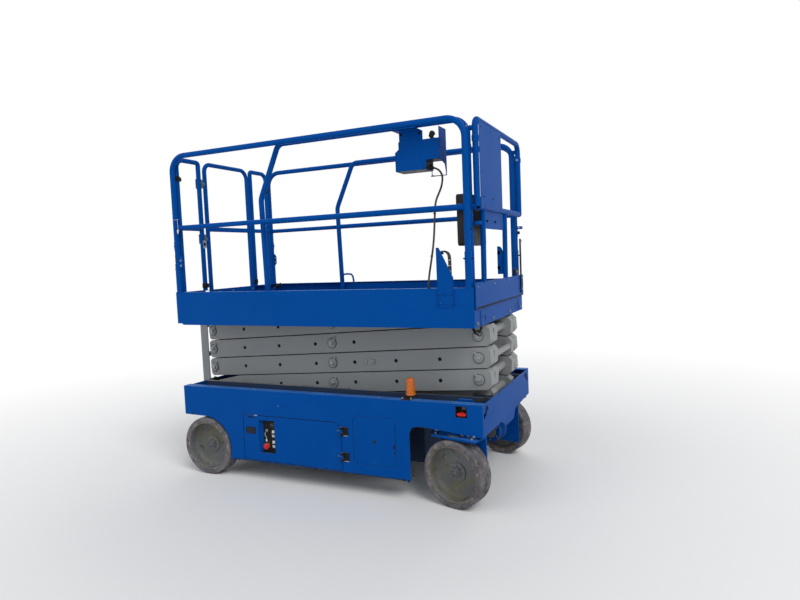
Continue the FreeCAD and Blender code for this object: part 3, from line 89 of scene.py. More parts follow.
class Finish:
    """A procedural material, built up node by node."""

    def __init__(self, name, colour, roughness, metallic=0.0):
        self.material = bpy.data.materials.new(name)
        self.material.use_nodes = True
        self.material.diffuse_color = colour
        self.nodes = self.material.node_tree.nodes
        self.links = self.material.node_tree.links
        self.shader = self.nodes["Principled BSDF"]
        self.shader.inputs["Base Color"].default_value = colour
        self.shader.inputs["Roughness"].default_value = roughness
        self.shader.inputs["Metallic"].default_value = metallic
        self.colour = colour
        self.colour_out = None
        self.roughness = roughness
        self.rough_out = None
        self.height = None
        self.eased = None
        self.place = self.node("ShaderNodeTexCoord").outputs["Object"]

    def node(self, kind, **values):
        made = self.nodes.new(kind)
        for key, value in values.items():
            if hasattr(made, key):
                setattr(made, key, value)
            else:
                made.inputs[key].default_value = value
        return made

    def noise(self, scale, detail=4.0, roughness=0.6, stretch=None):
        texture = self.node("ShaderNodeTexNoise")
        texture.inputs["Scale"].default_value = scale
        texture.inputs["Detail"].default_value = detail
        texture.inputs["Roughness"].default_value = roughness
        if stretch:
            mapping = self.node("ShaderNodeMapping")
            mapping.inputs["Scale"].default_value = stretch
            self.links.new(self.place, mapping.inputs["Vector"])
            self.links.new(mapping.outputs["Vector"], texture.inputs["Vector"])
        else:
            self.links.new(self.place, texture.inputs["Vector"])
        return texture.outputs["Fac"]

    def spots(self, scale, low, high):
        """Round spots where a cell texture is near its points."""
        texture = self.node("ShaderNodeTexVoronoi")
        texture.inputs["Scale"].default_value = scale
        self.links.new(self.place, texture.inputs["Vector"])
        return self.ramp(texture.outputs["Distance"], low, high, 1, 0)

    def ramp(self, value, low, high, start=0.0, end=1.0):
        made = self.node("ShaderNodeMapRange")
        made.inputs["From Min"].default_value = low
        made.inputs["From Max"].default_value = high
        made.inputs["To Min"].default_value = start
        made.inputs["To Max"].default_value = end
        self.links.new(value, made.inputs["Value"])
        return made.outputs["Result"]

    def times(self, one, other):
        made = self.node("ShaderNodeMath")
        made.operation = "MULTIPLY"
        self.links.new(one, made.inputs[0])
        if isinstance(other, (int, float)):
            made.inputs[1].default_value = other
        else:
            self.links.new(other, made.inputs[1])
        return made.outputs["Value"]

    def edges(self):
        """High along edges, where the eased normal leaves the flat one."""
        turned = self.node("ShaderNodeVectorMath")
        turned.operation = "DOT_PRODUCT"
        self.links.new(self.eased, turned.inputs[0])
        self.links.new(self.node("ShaderNodeNewGeometry").outputs["Normal"], turned.inputs[1])
        return self.ramp(turned.outputs["Value"], 0.995, 0.93)

    def facing_up(self, low=0.75, high=0.98):
        """High on faces that look up: where dust settles, and where the painted top highlight goes."""
        split = self.node("ShaderNodeSeparateXYZ")
        self.links.new(self.node("ShaderNodeNewGeometry").outputs["Normal"], split.inputs["Vector"])
        return self.ramp(split.outputs["Z"], low, high)

    def height_on_object(self, low, high):
        """1 at the low height and 0 at the high one."""
        split = self.node("ShaderNodeSeparateXYZ")
        self.links.new(self.place, split.inputs["Vector"])
        return self.ramp(split.outputs["Z"], low, high, 1, 0)

    def blend(self, factor, colour):
        """Lay a colour over what is there, where the factor is high."""
        mix = self.node("ShaderNodeMix")
        mix.data_type = "RGBA"
        self.links.new(factor, mix.inputs[0])
        if self.colour_out is None:
            mix.inputs[6].default_value = self.colour
        else:
            self.links.new(self.colour_out, mix.inputs[6])
        mix.inputs[7].default_value = colour
        self.colour_out = mix.outputs[2]
        self.links.new(self.colour_out, self.shader.inputs["Base Color"])
        return self

    def rough(self, factor, value):
        """Move the roughness towards a value where the factor is high."""
        mix = self.node("ShaderNodeMix")
        mix.data_type = "FLOAT"
        self.links.new(factor, mix.inputs[0])
        if self.rough_out is None:
            mix.inputs[2].default_value = self.roughness
        else:
            self.links.new(self.rough_out, mix.inputs[2])
        mix.inputs[3].default_value = value
        self.rough_out = mix.outputs[0]
        self.links.new(self.rough_out, self.shader.inputs["Roughness"])
        return self

    def bump(self, value, strength, depth=0.001):
        made = self.node("ShaderNodeBump")
        made.inputs["Strength"].default_value = strength
        made.inputs["Distance"].default_value = depth
        self.links.new(value, made.inputs["Height"])
        if self.height is not None:
            self.links.new(self.height, made.inputs["Normal"])
        self.height = made.outputs["Normal"]
        self.links.new(self.height, self.shader.inputs["Normal"])
        return self

    def soft_edges(self, radius):
        """Round the look of sharp edges."""
        made = self.node("ShaderNodeBevel")
        made.samples = 4
        made.inputs["Radius"].default_value = radius
        self.height = self.eased = made.outputs["Normal"]
        self.links.new(self.height, self.shader.inputs["Normal"])
        return self


def painted(name, colour, worn, dust, gloss=0.12, roughness=0.36, dust_top=0.5, edge=0.0016, uneven=0.35):
    """Sprayed enamel: faint shade changes, road dust low down, lighter dust with a painted top highlight on faces that
    look up, rubbed edges that double as painted edge highlights, and fine orange peel.
    """
    made = Finish(name, colour, roughness)
    made.shader.inputs["Specular IOR Level"].default_value = gloss
    made.soft_edges(edge)
    darker = tuple(channel * 0.8 for channel in colour[:3]) + (1,)
    lighter = tuple(min(1, channel * 1.15 + 0.003) for channel in colour[:3]) + (1,)
    made.blend(made.ramp(made.noise(1.6, 3), 0.4, 0.7, 0, uneven), darker)
    made.blend(made.ramp(made.noise(3.3, 2), 0.5, 0.75, 0, uneven), lighter)
    # Faces that look up are lightened: settled dust, and a painted highlight where light falls on top.
    top_dust_and_sheen = tuple(min(1, channel * 1.5 + 0.03) for channel in dust[:3]) + (1,)
    made.blend(made.times(made.facing_up(), made.ramp(made.noise(5, 5, 0.7), 0.35, 0.65, 0.25, 0.6)), top_dust_and_sheen)
    low = made.height_on_object(0.1, dust_top)
    made.blend(made.times(made.ramp(made.noise(9, 6, 0.7), 0.56, 0.76), made.times(low, 0.3)), dust)
    made.rough(made.times(low, made.ramp(made.noise(6, 5), 0.4, 0.7)), 0.7)
    made.rough(made.ramp(made.noise(3.1, 4), 0.4, 0.7, 0, 0.35), 0.52)
    # Lighter spots along the edges: rubbed paint, and a painted highlight on the edges.
    chips_and_glints = made.ramp(made.noise(38, 6, 0.75), 0.5, 0.66)
    made.blend(made.times(made.edges(), made.times(chips_and_glints, 0.8)), worn)
    made.bump(made.noise(210, 2, 0.5), 0.04, 0.0002)
    made.bump(made.noise(3.5, 2, 0.4), 0.08, 0.002)
    return made.material


def bare_metal(name, colour, roughness, rust=None, brushed=(1, 1, 1)):
    made = Finish(name, colour, roughness, 1.0)
    made.soft_edges(0.0006)
    made.blend(made.ramp(made.noise(14, 5), 0.4, 0.7, 0, 0.5),
               tuple(channel * 0.66 for channel in colour[:3]) + (1,))
    if rust:
        made.blend(made.times(made.ramp(made.noise(26, 7, 0.7), 0.56, 0.7), 0.7), rust)
        made.rough(made.ramp(made.noise(26, 7, 0.7), 0.56, 0.7), 0.85)
    made.rough(made.ramp(made.noise(60, 4, 0.6, stretch=brushed), 0.35, 0.7, 0, 0.6), min(0.9, roughness + 0.25))
    made.bump(made.noise(180, 3, 0.6, stretch=brushed), 0.12, 0.0004)
    return made.material


def moulded(name, colour, roughness=0.5, grain=420, dusty=0.25):
    """Moulded plastic with a fine grain and a little dust."""
    made = Finish(name, colour, roughness)
    made.shader.inputs["Specular IOR Level"].default_value = 0.25
    made.soft_edges(0.001)
    lighter = tuple(min(1, channel * 1.5 + 0.02) for channel in colour[:3]) + (1,)
    made.blend(made.ramp(made.noise(11, 6, 0.7), 0.48, 0.7, 0, dusty), lighter)
    made.rough(made.ramp(made.noise(8, 4), 0.4, 0.7), min(0.95, roughness + 0.2))
    made.bump(made.noise(grain, 2, 0.5), 0.2, 0.0004)
    return made.material


BLUE = srgb(0, 72, 150)
ROAD_DUST = srgb(150, 142, 128)
PRIMER = srgb(120, 122, 124)
# Lighter blue for rubbed edges, also a painted edge highlight.
EDGE_WEAR_AND_GLINT_BLUE = srgb(104, 136, 180)
# Dust blue; made lighter, it also paints the top highlight on faces that look up.
BLUE_DUST_AND_TOP_SHEEN = srgb(44, 100, 164)


def tyre_material():
    """Worn non-marking solid rubber: mottled, scuffed dark on the tread."""
    made = Finish("tyre_rubber", srgb(106, 104, 109), 0.82)
    made.shader.inputs["Specular IOR Level"].default_value = 0.2
    made.soft_edges(0.002)
    made.blend(made.ramp(made.noise(6, 7, 0.7), 0.45, 0.56, 0, 0.8), srgb(82, 80, 84))
    made.blend(made.ramp(made.noise(15, 6, 0.75), 0.53, 0.62, 0, 0.75), srgb(58, 54, 52))
    made.blend(made.ramp(made.noise(27, 5, 0.7), 0.55, 0.64, 0, 0.75), srgb(150, 140, 130))
    made.rough(made.ramp(made.noise(18, 4), 0.4, 0.7), 0.95)
    made.bump(made.noise(45, 6, 0.7), 0.45, 0.002)
    made.bump(made.noise(210, 4, 0.7), 0.3, 0.0008)
    return made.material


def wheel_material():
    """Thin grey paint over steel, rusting in patches and rubbed bright on the rim."""
    made = Finish("wheel_enamel", srgb(102, 106, 105), 0.5)
    made.shader.inputs["Specular IOR Level"].default_value = 0.25
    made.soft_edges(0.0016)
    made.blend(made.ramp(made.noise(5, 5, 0.6), 0.42, 0.62, 0, 0.6), srgb(86, 88, 98))
    made.blend(made.ramp(made.noise(5.5, 6, 0.7), 0.48, 0.6, 0, 0.65), srgb(104, 98, 72))
    made.blend(made.ramp(made.noise(24, 6, 0.75), 0.56, 0.66, 0, 0.85), srgb(66, 52, 38))
    made.blend(made.times(made.edges(), made.ramp(made.noise(24, 5, 0.7), 0.44, 0.56)), srgb(186, 178, 160))
    made.rough(made.ramp(made.noise(9, 4), 0.4, 0.7), 0.75)
    made.bump(made.noise(26, 5, 0.7), 0.25, 0.001)
    return made.material


def seam_material():
    """Bonded edge between rim and tyre: rust, pale scale and dark gaps."""
    made = Finish("rusty_seam", srgb(96, 68, 46), 0.85)
    made.blend(made.ramp(made.noise(17, 5, 0.7), 0.52, 0.6), srgb(160, 146, 122))
    made.blend(made.ramp(made.noise(40, 5, 0.7), 0.5, 0.58), srgb(44, 34, 28))
    made.rough(made.ramp(made.noise(30, 4), 0.4, 0.7), 0.95)
    made.bump(made.noise(90, 4, 0.7), 0.4, 0.001)
    return made.material


def lens_material():
    made = Finish("amber_lens", srgb(196, 100, 2), 0.26)
    made.shader.inputs["Transmission Weight"].default_value = 0.15
    made.shader.inputs["IOR"].default_value = 1.49
    made.shader.inputs["Emission Color"].default_value = srgb(255, 110, 0)
    made.shader.inputs["Emission Strength"].default_value = 0.05
    made.blend(made.ramp(made.noise(16, 4), 0.42, 0.7, 0, 0.5), srgb(176, 74, 0))
    made.rough(made.ramp(made.noise(30, 4), 0.45, 0.7), 0.32)
    made.bump(made.noise(120, 2), 0.08, 0.0004)
    return made.material


def cable_material():
    """Black sheath with pale flecks as painted highlights on its weave."""
    made = Finish("cable_sheath", srgb(24, 24, 26), 0.55)
    # Pale flecks: painted highlights on the sleeve.
    made.blend(made.spots(260, 0.16, 0.22), srgb(150, 150, 150))
    made.blend(made.ramp(made.noise(40, 4), 0.5, 0.7, 0, 0.4), srgb(58, 57, 55))
    made.rough(made.ramp(made.noise(30, 4), 0.4, 0.7), 0.75)
    made.bump(made.noise(300, 3), 0.15, 0.0004)
    return made.material


def grip_floor_material():
    """Deck sheet with a raised non-slip pattern, in the same paint."""
    made = Finish("deck_floor", srgb(20, 84, 150), 0.45)
    texture = made.node("ShaderNodeTexVoronoi")
    texture.inputs["Scale"].default_value = 38
    made.links.new(made.place, texture.inputs["Vector"])
    raised = made.ramp(texture.outputs["Distance"], 0.2, 0.32, 1, 0)
    made.blend(made.times(raised, 0.35), srgb(110, 118, 124))
    made.blend(made.ramp(made.noise(6, 6, 0.7), 0.46, 0.66, 0, 0.6), ROAD_DUST)
    made.bump(raised, 0.5, 0.002)
    return made.material


MATERIALS = {
    "paint_blue": painted("blue_enamel", BLUE, EDGE_WEAR_AND_GLINT_BLUE, BLUE_DUST_AND_TOP_SHEEN, 0.03, 0.4),
    "arm_grey": painted("arm_enamel", srgb(140, 143, 144), srgb(92, 94, 98), srgb(122, 118, 110), 0.12, 0.46, 0.7),
    "wheel_grey": wheel_material(),
    "tyre_grey": tyre_material(),
    "base_dark": painted("chassis_enamel", srgb(50, 64, 90), PRIMER, ROAD_DUST, 0.04, 0.55, 0.9),
    "axle_grey": painted("axle_enamel", srgb(96, 98, 102), srgb(70, 62, 54), srgb(126, 118, 106), 0.2, 0.6, 0.5),
    "steel": bare_metal("zinc_steel", srgb(146, 149, 152), 0.42, srgb(92, 74, 58)),
    "chrome_rod": bare_metal("chromed_rod", srgb(214, 216, 220), 0.1, None, (1, 8, 8)),
    "black_plastic": moulded("black_moulding", srgb(26, 27, 29)),
    "black_metal": painted("black_enamel", srgb(26, 27, 30), PRIMER, ROAD_DUST, 0.1, 0.5, 0.5),
    "amber": lens_material(),
    "cable_black": cable_material(),
    "red": moulded("red_moulding", srgb(196, 22, 20), 0.32, 500, 0.1),
    "pale": moulded("pale_moulding", srgb(206, 204, 198), 0.45, 500, 0.1),
    "brass": bare_metal("brass", srgb(200, 160, 84), 0.3),
    "rubber": moulded("black_rubber", srgb(20, 20, 21), 0.78, 240, 0.35),
    "floor": grip_floor_material(),
    "rust": seam_material(),
}



FINISHES = {"control_box": "paint_blue", "knuckle_near": "paint_blue", "knuckle_far": "paint_blue"}


def dress_nodes():
    """Give every carried-over CAD node its finish."""
    for part in frame["record"]["subparts"]:
        shown = frame["nodes"][part["node"]]
        shown.data.materials.clear()
        finish = FINISHES.get(part["node"], part["material_slot"])
        shown.data.materials.append(MATERIALS[finish])


dress_nodes()


# Mesh building blocks

def turn_to(direction):
    """The turn that takes +Z to a direction."""
    return Vector(direction).normalized().to_track_quat("Z", "Y").to_matrix().to_4x4()


class Piece:
    """A mesh built up from turned, extruded and swept forms."""

    def __init__(self, name, material, body):
        self.name, self.material, self.body = name, material, body
        self.bm = bmesh.new()

    def lathe(self, at, direction, profile, steps=32, hollow=False):
        """Turn (radius, height) points about an axis that starts at a point. A hollow one closes on itself."""
        place = Matrix.Translation(at) @ turn_to(direction)
        rings = []
        for radius, height in profile:
            if radius < 1e-6:
                rings.append([self.bm.verts.new(place @ Vector((0, 0, height)))])
                continue
            rings.append([self.bm.verts.new(place @ Vector((radius * math.cos(2 * math.pi * i / steps),
                                                            radius * math.sin(2 * math.pi * i / steps), height)))
                          for i in range(steps)])
        pairs = list(zip(rings, rings[1:]))
        if hollow:
            pairs.append((rings[-1], rings[0]))
        for low, high in pairs:
            for i in range(steps):
                j = (i + 1) % steps
                corners = [low[i % len(low)], low[j % len(low)], high[j % len(high)], high[i % len(high)]]
                distinct = list(dict.fromkeys(corners))
                if len(distinct) > 2:
                    self.bm.faces.new(distinct)
        for ring, flip in ((rings[0], True), (rings[-1], False)):
            if len(ring) > 2 and not hollow:
                self.bm.faces.new(ring[::-1] if flip else ring)
        return self

    def rod(self, start, end, radius, steps=16, edge=0.0):
        """A round bar with eased ends."""
        run = Vector(end) - Vector(start)
        edge = min(edge, radius * 0.6)
        profile = [(radius - edge, 0), (radius, edge), (radius, run.length - edge), (radius - edge, run.length)]
        if not edge:
            profile = [(radius, 0), (radius, run.length)]
        return self.lathe(Vector(start), run, profile, steps)

    def ring(self, at, direction, inner, outer, depth, steps=32, edge=0.0006):
        """A closed ring with eased outer edges."""
        profile = [(inner, 0), (outer - edge, 0), (outer, edge), (outer, depth - edge), (outer - edge, depth),
                   (inner, depth)]
        return self.lathe(Vector(at), direction, profile, steps, hollow=True)

    def slab(self, outline, across, start, depth, origin=(0, 0, 0)):
        """Extrude an outline. Across is the direction of depth: x, y or z."""
        def corner(point, along):
            one, other = point
            return Vector(origin) + Vector({"x": (along, one, other), "y": (one, along, other),
                                            "z": (one, other, along)}[across])
        low = [self.bm.verts.new(corner(point, start)) for point in outline]
        high = [self.bm.verts.new(corner(point, start + depth)) for point in outline]
        self.bm.faces.new(low)
        self.bm.faces.new(high[::-1])
        for i in range(len(outline)):
            j = (i + 1) % len(outline)
            self.bm.faces.new((low[i], high[i], high[j], low[j]))
        return self

    def box(self, low, high, turn=None, about=None):
        """A block between two corners, turned about a point if asked."""
        verts = []
        for x in (low[0], high[0]):
            for y in (low[1], high[1]):
                for z in (low[2], high[2]):
                    verts.append(Vector((x, y, z)))
        if turn is not None:
            centre = Vector(about) if about else (Vector(low) + Vector(high)) / 2
            verts = [centre + turn @ (corner - centre) for corner in verts]
        verts = [self.bm.verts.new(corner) for corner in verts]
        for face in ((0, 1, 3, 2), (4, 6, 7, 5), (0, 4, 5, 1), (2, 3, 7, 6), (0, 2, 6, 4), (1, 5, 7, 3)):
            self.bm.faces.new([verts[i] for i in face])
        return self

    def sweep(self, points, radius, steps=12, closed=False, taper=None):
        """A round bar along points."""
        points = [Vector(point) for point in points]
        count = len(points)
        rings = []
        side = None
        for i, point in enumerate(points):
            if closed:
                ahead = points[(i + 1) % count] - points[i - 1]
            else:
                ahead = points[min(i + 1, count - 1)] - points[max(i - 1, 0)]
            ahead.normalize()
            if side is None:
                side = ahead.orthogonal().normalized()
            side = (side - ahead * side.dot(ahead)).normalized()
            other = ahead.cross(side)
            size = radius if taper is None else radius * taper(i / max(1, count - 1))
            rings.append([self.bm.verts.new(point + (side * math.cos(2 * math.pi * k / steps)
                                                     + other * math.sin(2 * math.pi * k / steps)) * size)
                          for k in range(steps)])
        pairs = list(zip(rings, rings[1:]))
        if closed:
            pairs.append((rings[-1], rings[0]))
        for low, high in pairs:
            for k in range(steps):
                j = (k + 1) % steps
                self.bm.faces.new((low[k], low[j], high[j], high[k]))
        if not closed:
            self.bm.faces.new(rings[0][::-1])
            self.bm.faces.new(rings[-1])
        return self

    def hex_nut(self, at, direction, across, height, washer=True):
        """A six-sided nut with a domed end on a washer."""
        direction = Vector(direction).normalized()
        at = Vector(at)
        if washer:
            self.lathe(at, direction, [(across * 0.78, 0), (across * 0.8, 0.0005), (across * 0.78, 0.0022),
                                       (0, 0.0022)], 24)
            at = at + direction * 0.0022
        flat = across / 2 / math.cos(math.pi / 6)
        self.lathe(at, direction, [(flat, 0), (flat, height * 0.86), (flat * 0.86, height)], 6)
        self.lathe(at + direction * height * 0.98, direction,
                   [(across * 0.3, 0), (across * 0.3, height * 0.18), (across * 0.2, height * 0.3), (0, height * 0.32)],
                   14)
        return self

    def screw_head(self, at, direction, radius, height):
        """A low domed head."""
        self.lathe(at, direction, [(radius, 0), (radius, height * 0.35), (radius * 0.8, height * 0.8),
                                   (radius * 0.4, height), (0, height)], 18)
        return self

    def done(self, bevel=0.0, smooth=32, replaces=(), segments=2):
        """Close the mesh and set it on its body."""
        bmesh.ops.recalc_face_normals(self.bm, faces=self.bm.faces)
        mesh = bpy.data.meshes.new(self.name)
        self.bm.to_mesh(mesh)
        self.bm.free()
        mesh.materials.append(MATERIALS[self.material])
        mesh.shade_smooth()
        mesh.set_sharp_from_angle(angle=math.radians(smooth))
        made = bpy.data.objects.new(self.name, mesh)
        bpy.context.scene.collection.objects.link(made)
        if bevel:
            eased = made.modifiers.new("eased_edges", "BEVEL")
            eased.width = bevel
            eased.segments = segments
            eased.limit_method = "ANGLE"
            eased.angle_limit = math.radians(40)
            eased.harden_normals = False
        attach(made, self.body)
        if replaces:
            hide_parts(*replaces)
        return made


def arc(centre, radius, start, end, steps):
    """Points along an arc in a plane, angles in degrees."""
    return [(centre[0] + radius * math.cos(math.radians(start + (end - start) * i / steps)),
             centre[1] + radius * math.sin(math.radians(start + (end - start) * i / steps)))
            for i in range(steps + 1)]


def rounded(x0, y0, x1, y1, radius, steps=5):
    """A rectangle with round corners."""
    corners = [((x1 - radius, y1 - radius), 0), ((x0 + radius, y1 - radius), 90), ((x0 + radius, y0 + radius), 180),
               ((x1 - radius, y0 + radius), 270)]
    points = []
    for centre, start in corners:
        points += arc(centre, radius, start, start + 90, steps)
    return points


# Cable from the control box to the deck's side plate

CABLE_ROUTE = [
    (0.8423, -0.430, 2.005), (0.868, -0.430, 2.005), (0.892, -0.4305, 1.995), (0.9105, -0.431, 1.977),
    (0.9205, -0.432, 1.953), (0.921, -0.434, 1.926), (0.918, -0.447, 1.888), (0.912, -0.475, 1.850),
    (0.907, -0.510, 1.812), (0.903, -0.526, 1.766), (0.901, -0.529, 1.714), (0.898, -0.532, 1.660),
    (0.896, -0.538, 1.604), (0.892, -0.545, 1.548), (0.884, -0.549, 1.492), (0.874, -0.551, 1.436),
    (0.864, -0.553, 1.382), (0.858, -0.554, 1.338), (0.857, -0.554, 1.2972),
]
CABLE_RADIUS = 0.006


def cord_curve(name, route, radius, body):
    curve = bpy.data.curves.new(name, "CURVE")
    curve.dimensions = "3D"
    spline = curve.splines.new("NURBS")
    spline.points.add(len(route) - 1)
    for point, place in zip(spline.points, route):
        point.co = (*place, 1)
    spline.order_u = 3
    spline.use_endpoint_u = True
    spline.resolution_u = 6
    curve.bevel_depth = radius
    curve.bevel_resolution = 5
    curve.use_fill_caps = True
    made = bpy.data.objects.new(name, curve)
    made.data.materials.append(MATERIALS["cable_black"])
    bpy.context.scene.collection.objects.link(made)
    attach(made, body)
    return made


def along(curve_object):
    """Points along a curve's line."""
    data = curve_object.data.copy()
    data.bevel_depth = 0
    bare = bpy.data.objects.new("measure", data)
    mesh = bpy.data.meshes.new_from_object(bare)
    points = [Vector(vertex.co) for vertex in mesh.vertices]
    bpy.data.objects.remove(bare)
    bpy.data.curves.remove(data)
    bpy.data.meshes.remove(mesh)
    return points


def control_cable():
    cable = cord_curve("control_cable", CABLE_ROUTE, CABLE_RADIUS, "platform")
    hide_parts("cable")
    start = Vector(CABLE_ROUTE[0])
    relief = Piece("cable_gland", "rubber", "platform")
    relief.lathe(start - X * 0.0003, X,
                 [(0.0063, 0), (0.0128, 0), (0.0128, 0.004), (0.0106, 0.0055), (0.0098, 0.006), (0.0098, 0.0085),
                  (0.0101, 0.009), (0.0094, 0.0125), (0.0089, 0.013), (0.0089, 0.0155), (0.0092, 0.016),
                  (0.0085, 0.0195), (0.008, 0.02), (0.008, 0.0225), (0.0083, 0.023), (0.0072, 0.0275),
                  (0.0063, 0.029)], 28, hollow=True)
    gland = relief.done()
    return cable


cable = control_cable()


def cable_ties():
    """Ties that hold the cable, and the grommet where it goes into the side plate."""
    line = along(cable)
    ties = Piece("cable_ties", "black_plastic", "platform")
    for share in (0.55, 0.82):
        k = int(share * (len(line) - 2))
        ahead = (line[k + 1] - line[k]).normalized()
        ties.ring(line[k] - ahead * 0.002, ahead, CABLE_RADIUS, CABLE_RADIUS + 0.0014, 0.0042, 24, 0.0003)
        side = ahead.orthogonal().normalized()
        ties.box(line[k] + side * 0.0082 - Vector((0.0025, 0.0025, 0.0025)),
                 line[k] + side * 0.0082 + Vector((0.0025, 0.0025, 0.0025)))
    foot = Vector(CABLE_ROUTE[-1])
    ties.ring(foot - Z * 0.0004, Z, 0.0062, 0.0125, 0.0035, 28, 0.0012)
    ties.done(bevel=0.0003)


cable_ties()


# Spare cable, hung in three turns on the bracket's peg

HANK_X, HANK_Y, HANK_TOP, HANK_FOOT = 0.9585, -0.5595, 1.475, 1.350
HANK_TURNS = ((0.0335, -0.010), (0.0350, 0.0), (0.0365, 0.010))
HANK_RADIUS = 0.0051


def hank_route():
    """Up out of the side plate, three turns side by side, and back down into it."""
    first, last = HANK_TURNS[0], HANK_TURNS[-1]
    route = [(HANK_X + first[0] - 0.001, HANK_Y + first[1], 1.2972), (HANK_X + first[0], HANK_Y + first[1], 1.325)]
    for turn, (reach, lean) in enumerate(HANK_TURNS):
        y, top = HANK_Y + lean, HANK_TOP - (reach - first[0])
        right, left = HANK_X + reach, HANK_X - reach
        route += [(right + 0.0006, y, HANK_FOOT + 0.03), (right + 0.0006, y, top - 0.03)]
        route += [(HANK_X + reach * math.cos(math.radians(angle)), y, top + reach * math.sin(math.radians(angle)))
                  for angle in range(12, 180, 26)]
        route += [(left - 0.0006, y, top - 0.03), (left - 0.0006, y, HANK_FOOT + 0.03)]
        if turn == len(HANK_TURNS) - 1:
            continue
        wider, further = HANK_TURNS[turn + 1]
        for k, angle in enumerate(range(192, 360, 26)):
            share = k / 6
            size = reach + (wider - reach) * share
            route.append((HANK_X + size * math.cos(math.radians(angle)), y + (further - lean) * share,
                          HANK_FOOT + size * math.sin(math.radians(angle))))
    route += [(HANK_X - last[0], HANK_Y + last[1], 1.325), (HANK_X - last[0] + 0.001, HANK_Y + last[1], 1.2972)]
    return route


HANK_ROUTE = hank_route()


def spare_loop():
    loop = cord_curve("spare_cable", HANK_ROUTE, HANK_RADIUS, "platform")
    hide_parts("cable_coil")
    sleeve = Piece("spare_cable_grommets", "rubber", "platform")
    for place in (HANK_ROUTE[0], HANK_ROUTE[-1]):
        sleeve.ring(Vector(place) - Z * 0.0004, Z, HANK_RADIUS + 0.0002, 0.0095, 0.003, 28, 0.001)
    grommets = sleeve.done()
    bands = Piece("spare_cable_bands", "pale", "platform")
    for side in (-1, 1):
        x = HANK_X + side * 0.035
        for step in range(4):
            low = HANK_FOOT + 0.012 + 0.031 * step
            bands.slab(rounded(x - 0.0078, -0.5748, x + 0.0078, -0.5432, 0.0055), "z", low, 0.003)
    wraps = bands.done(bevel=0.0005)
    return loop


spare_loop()


# Floor, background and light

def stage_floor():
    size = 40
    mesh = bpy.data.meshes.new("ground")
    mesh.from_pydata([(-size, -size, 0), (size, -size, 0), (size, size, 0), (-size, size, 0)], [], [(0, 1, 2, 3)])
    ground = bpy.data.objects.new("ground", mesh)
    bpy.context.scene.collection.objects.link(ground)
    finish = Finish("pale_floor", (0.82, 0.82, 0.82, 1), 0.9)
    finish.blend(finish.ramp(finish.noise(0.6, 3), 0.3, 0.7, 0, 0.3), (0.78, 0.78, 0.78, 1))
    reach = finish.node("ShaderNodeVectorMath")
    reach.operation = "LENGTH"
    finish.links.new(finish.place, reach.inputs[0])
    glow = finish.node("ShaderNodeEmission")
    fade = finish.node("ShaderNodeMixShader")
    finish.links.new(finish.ramp(reach.outputs["Value"], 1.8, 5.5), fade.inputs["Fac"])
    finish.links.new(finish.shader.outputs["BSDF"], fade.inputs[1])
    finish.links.new(glow.outputs["Emission"], fade.inputs[2])
    finish.links.new(fade.outputs["Shader"], finish.nodes["Material Output"].inputs["Surface"])
    mesh.materials.append(finish.material)


def world_light(strength):
    world = bpy.data.worlds.new("studio")
    world.use_nodes = True
    bpy.context.scene.world = world
    nodes, links = world.node_tree.nodes, world.node_tree.links
    nodes.clear()
    out = nodes.new("ShaderNodeOutputWorld")
    mix = nodes.new("ShaderNodeMixShader")
    soft = nodes.new("ShaderNodeBackground")
    soft.inputs["Color"].default_value = (0.93, 0.96, 1.0, 1)
    soft.inputs["Strength"].default_value = strength
    white = nodes.new("ShaderNodeBackground")
    white.inputs["Color"].default_value = (1, 1, 1, 1)
    white.inputs["Strength"].default_value = 1
    path = nodes.new("ShaderNodeLightPath")
    seen = nodes.new("ShaderNodeMath")
    seen.operation = "ADD"
    seen.use_clamp = True
    glass = nodes.new("ShaderNodeMath")
    glass.operation = "ADD"
    glass.use_clamp = True
    links.new(path.outputs["Is Camera Ray"], seen.inputs[0])
    links.new(path.outputs["Is Glossy Ray"], seen.inputs[1])
    links.new(seen.outputs[0], glass.inputs[0])
    links.new(path.outputs["Is Transmission Ray"], glass.inputs[1])
    links.new(glass.outputs[0], mix.inputs["Fac"])
    links.new(soft.outputs["Background"], mix.inputs[1])
    links.new(white.outputs["Background"], mix.inputs[2])
    links.new(mix.outputs["Shader"], out.inputs["Surface"])


def sun(name, towards, strength, softness, colour=(1, 1, 1)):
    """A distant soft lamp that stands in a direction from the object."""
    data = bpy.data.lights.new(name, "SUN")
    data.energy = strength
    data.angle = math.radians(softness)
    data.color = colour
    made = bpy.data.objects.new(name, data)
    made.rotation_mode = "QUATERNION"
    made.rotation_quaternion = Vector(towards).to_track_quat("Z", "Y")
    bpy.context.scene.collection.objects.link(made)


bpy.context.scene.view_settings.view_transform = "Standard"
stage_floor()
world_light(0.45)
sun("key", (0.62, -0.42, 0.75), 1.5, 30, (1.0, 0.985, 0.96))
sun("fill", (-0.55, -0.75, 0.5), 0.55, 50, (0.94, 0.97, 1.0))
sun("back", (-0.2, 0.9, 0.7), 0.5, 50)


# Wheels

front_axle, rear_axle = MID + 0.925, MID - 0.925
half_track, tyre_radius, tyre_width, rim_radius = 0.528, 0.203, 0.114, 0.169
STEER_REST = math.radians(14)
WHEELS = {
    "rear_near": (rear_axle, -1, 0.0), "rear_far": (rear_axle, 1, 0.0),
    "front_near": (front_axle, -1, -STEER_REST), "front_far": (front_axle, 1, -STEER_REST),
}


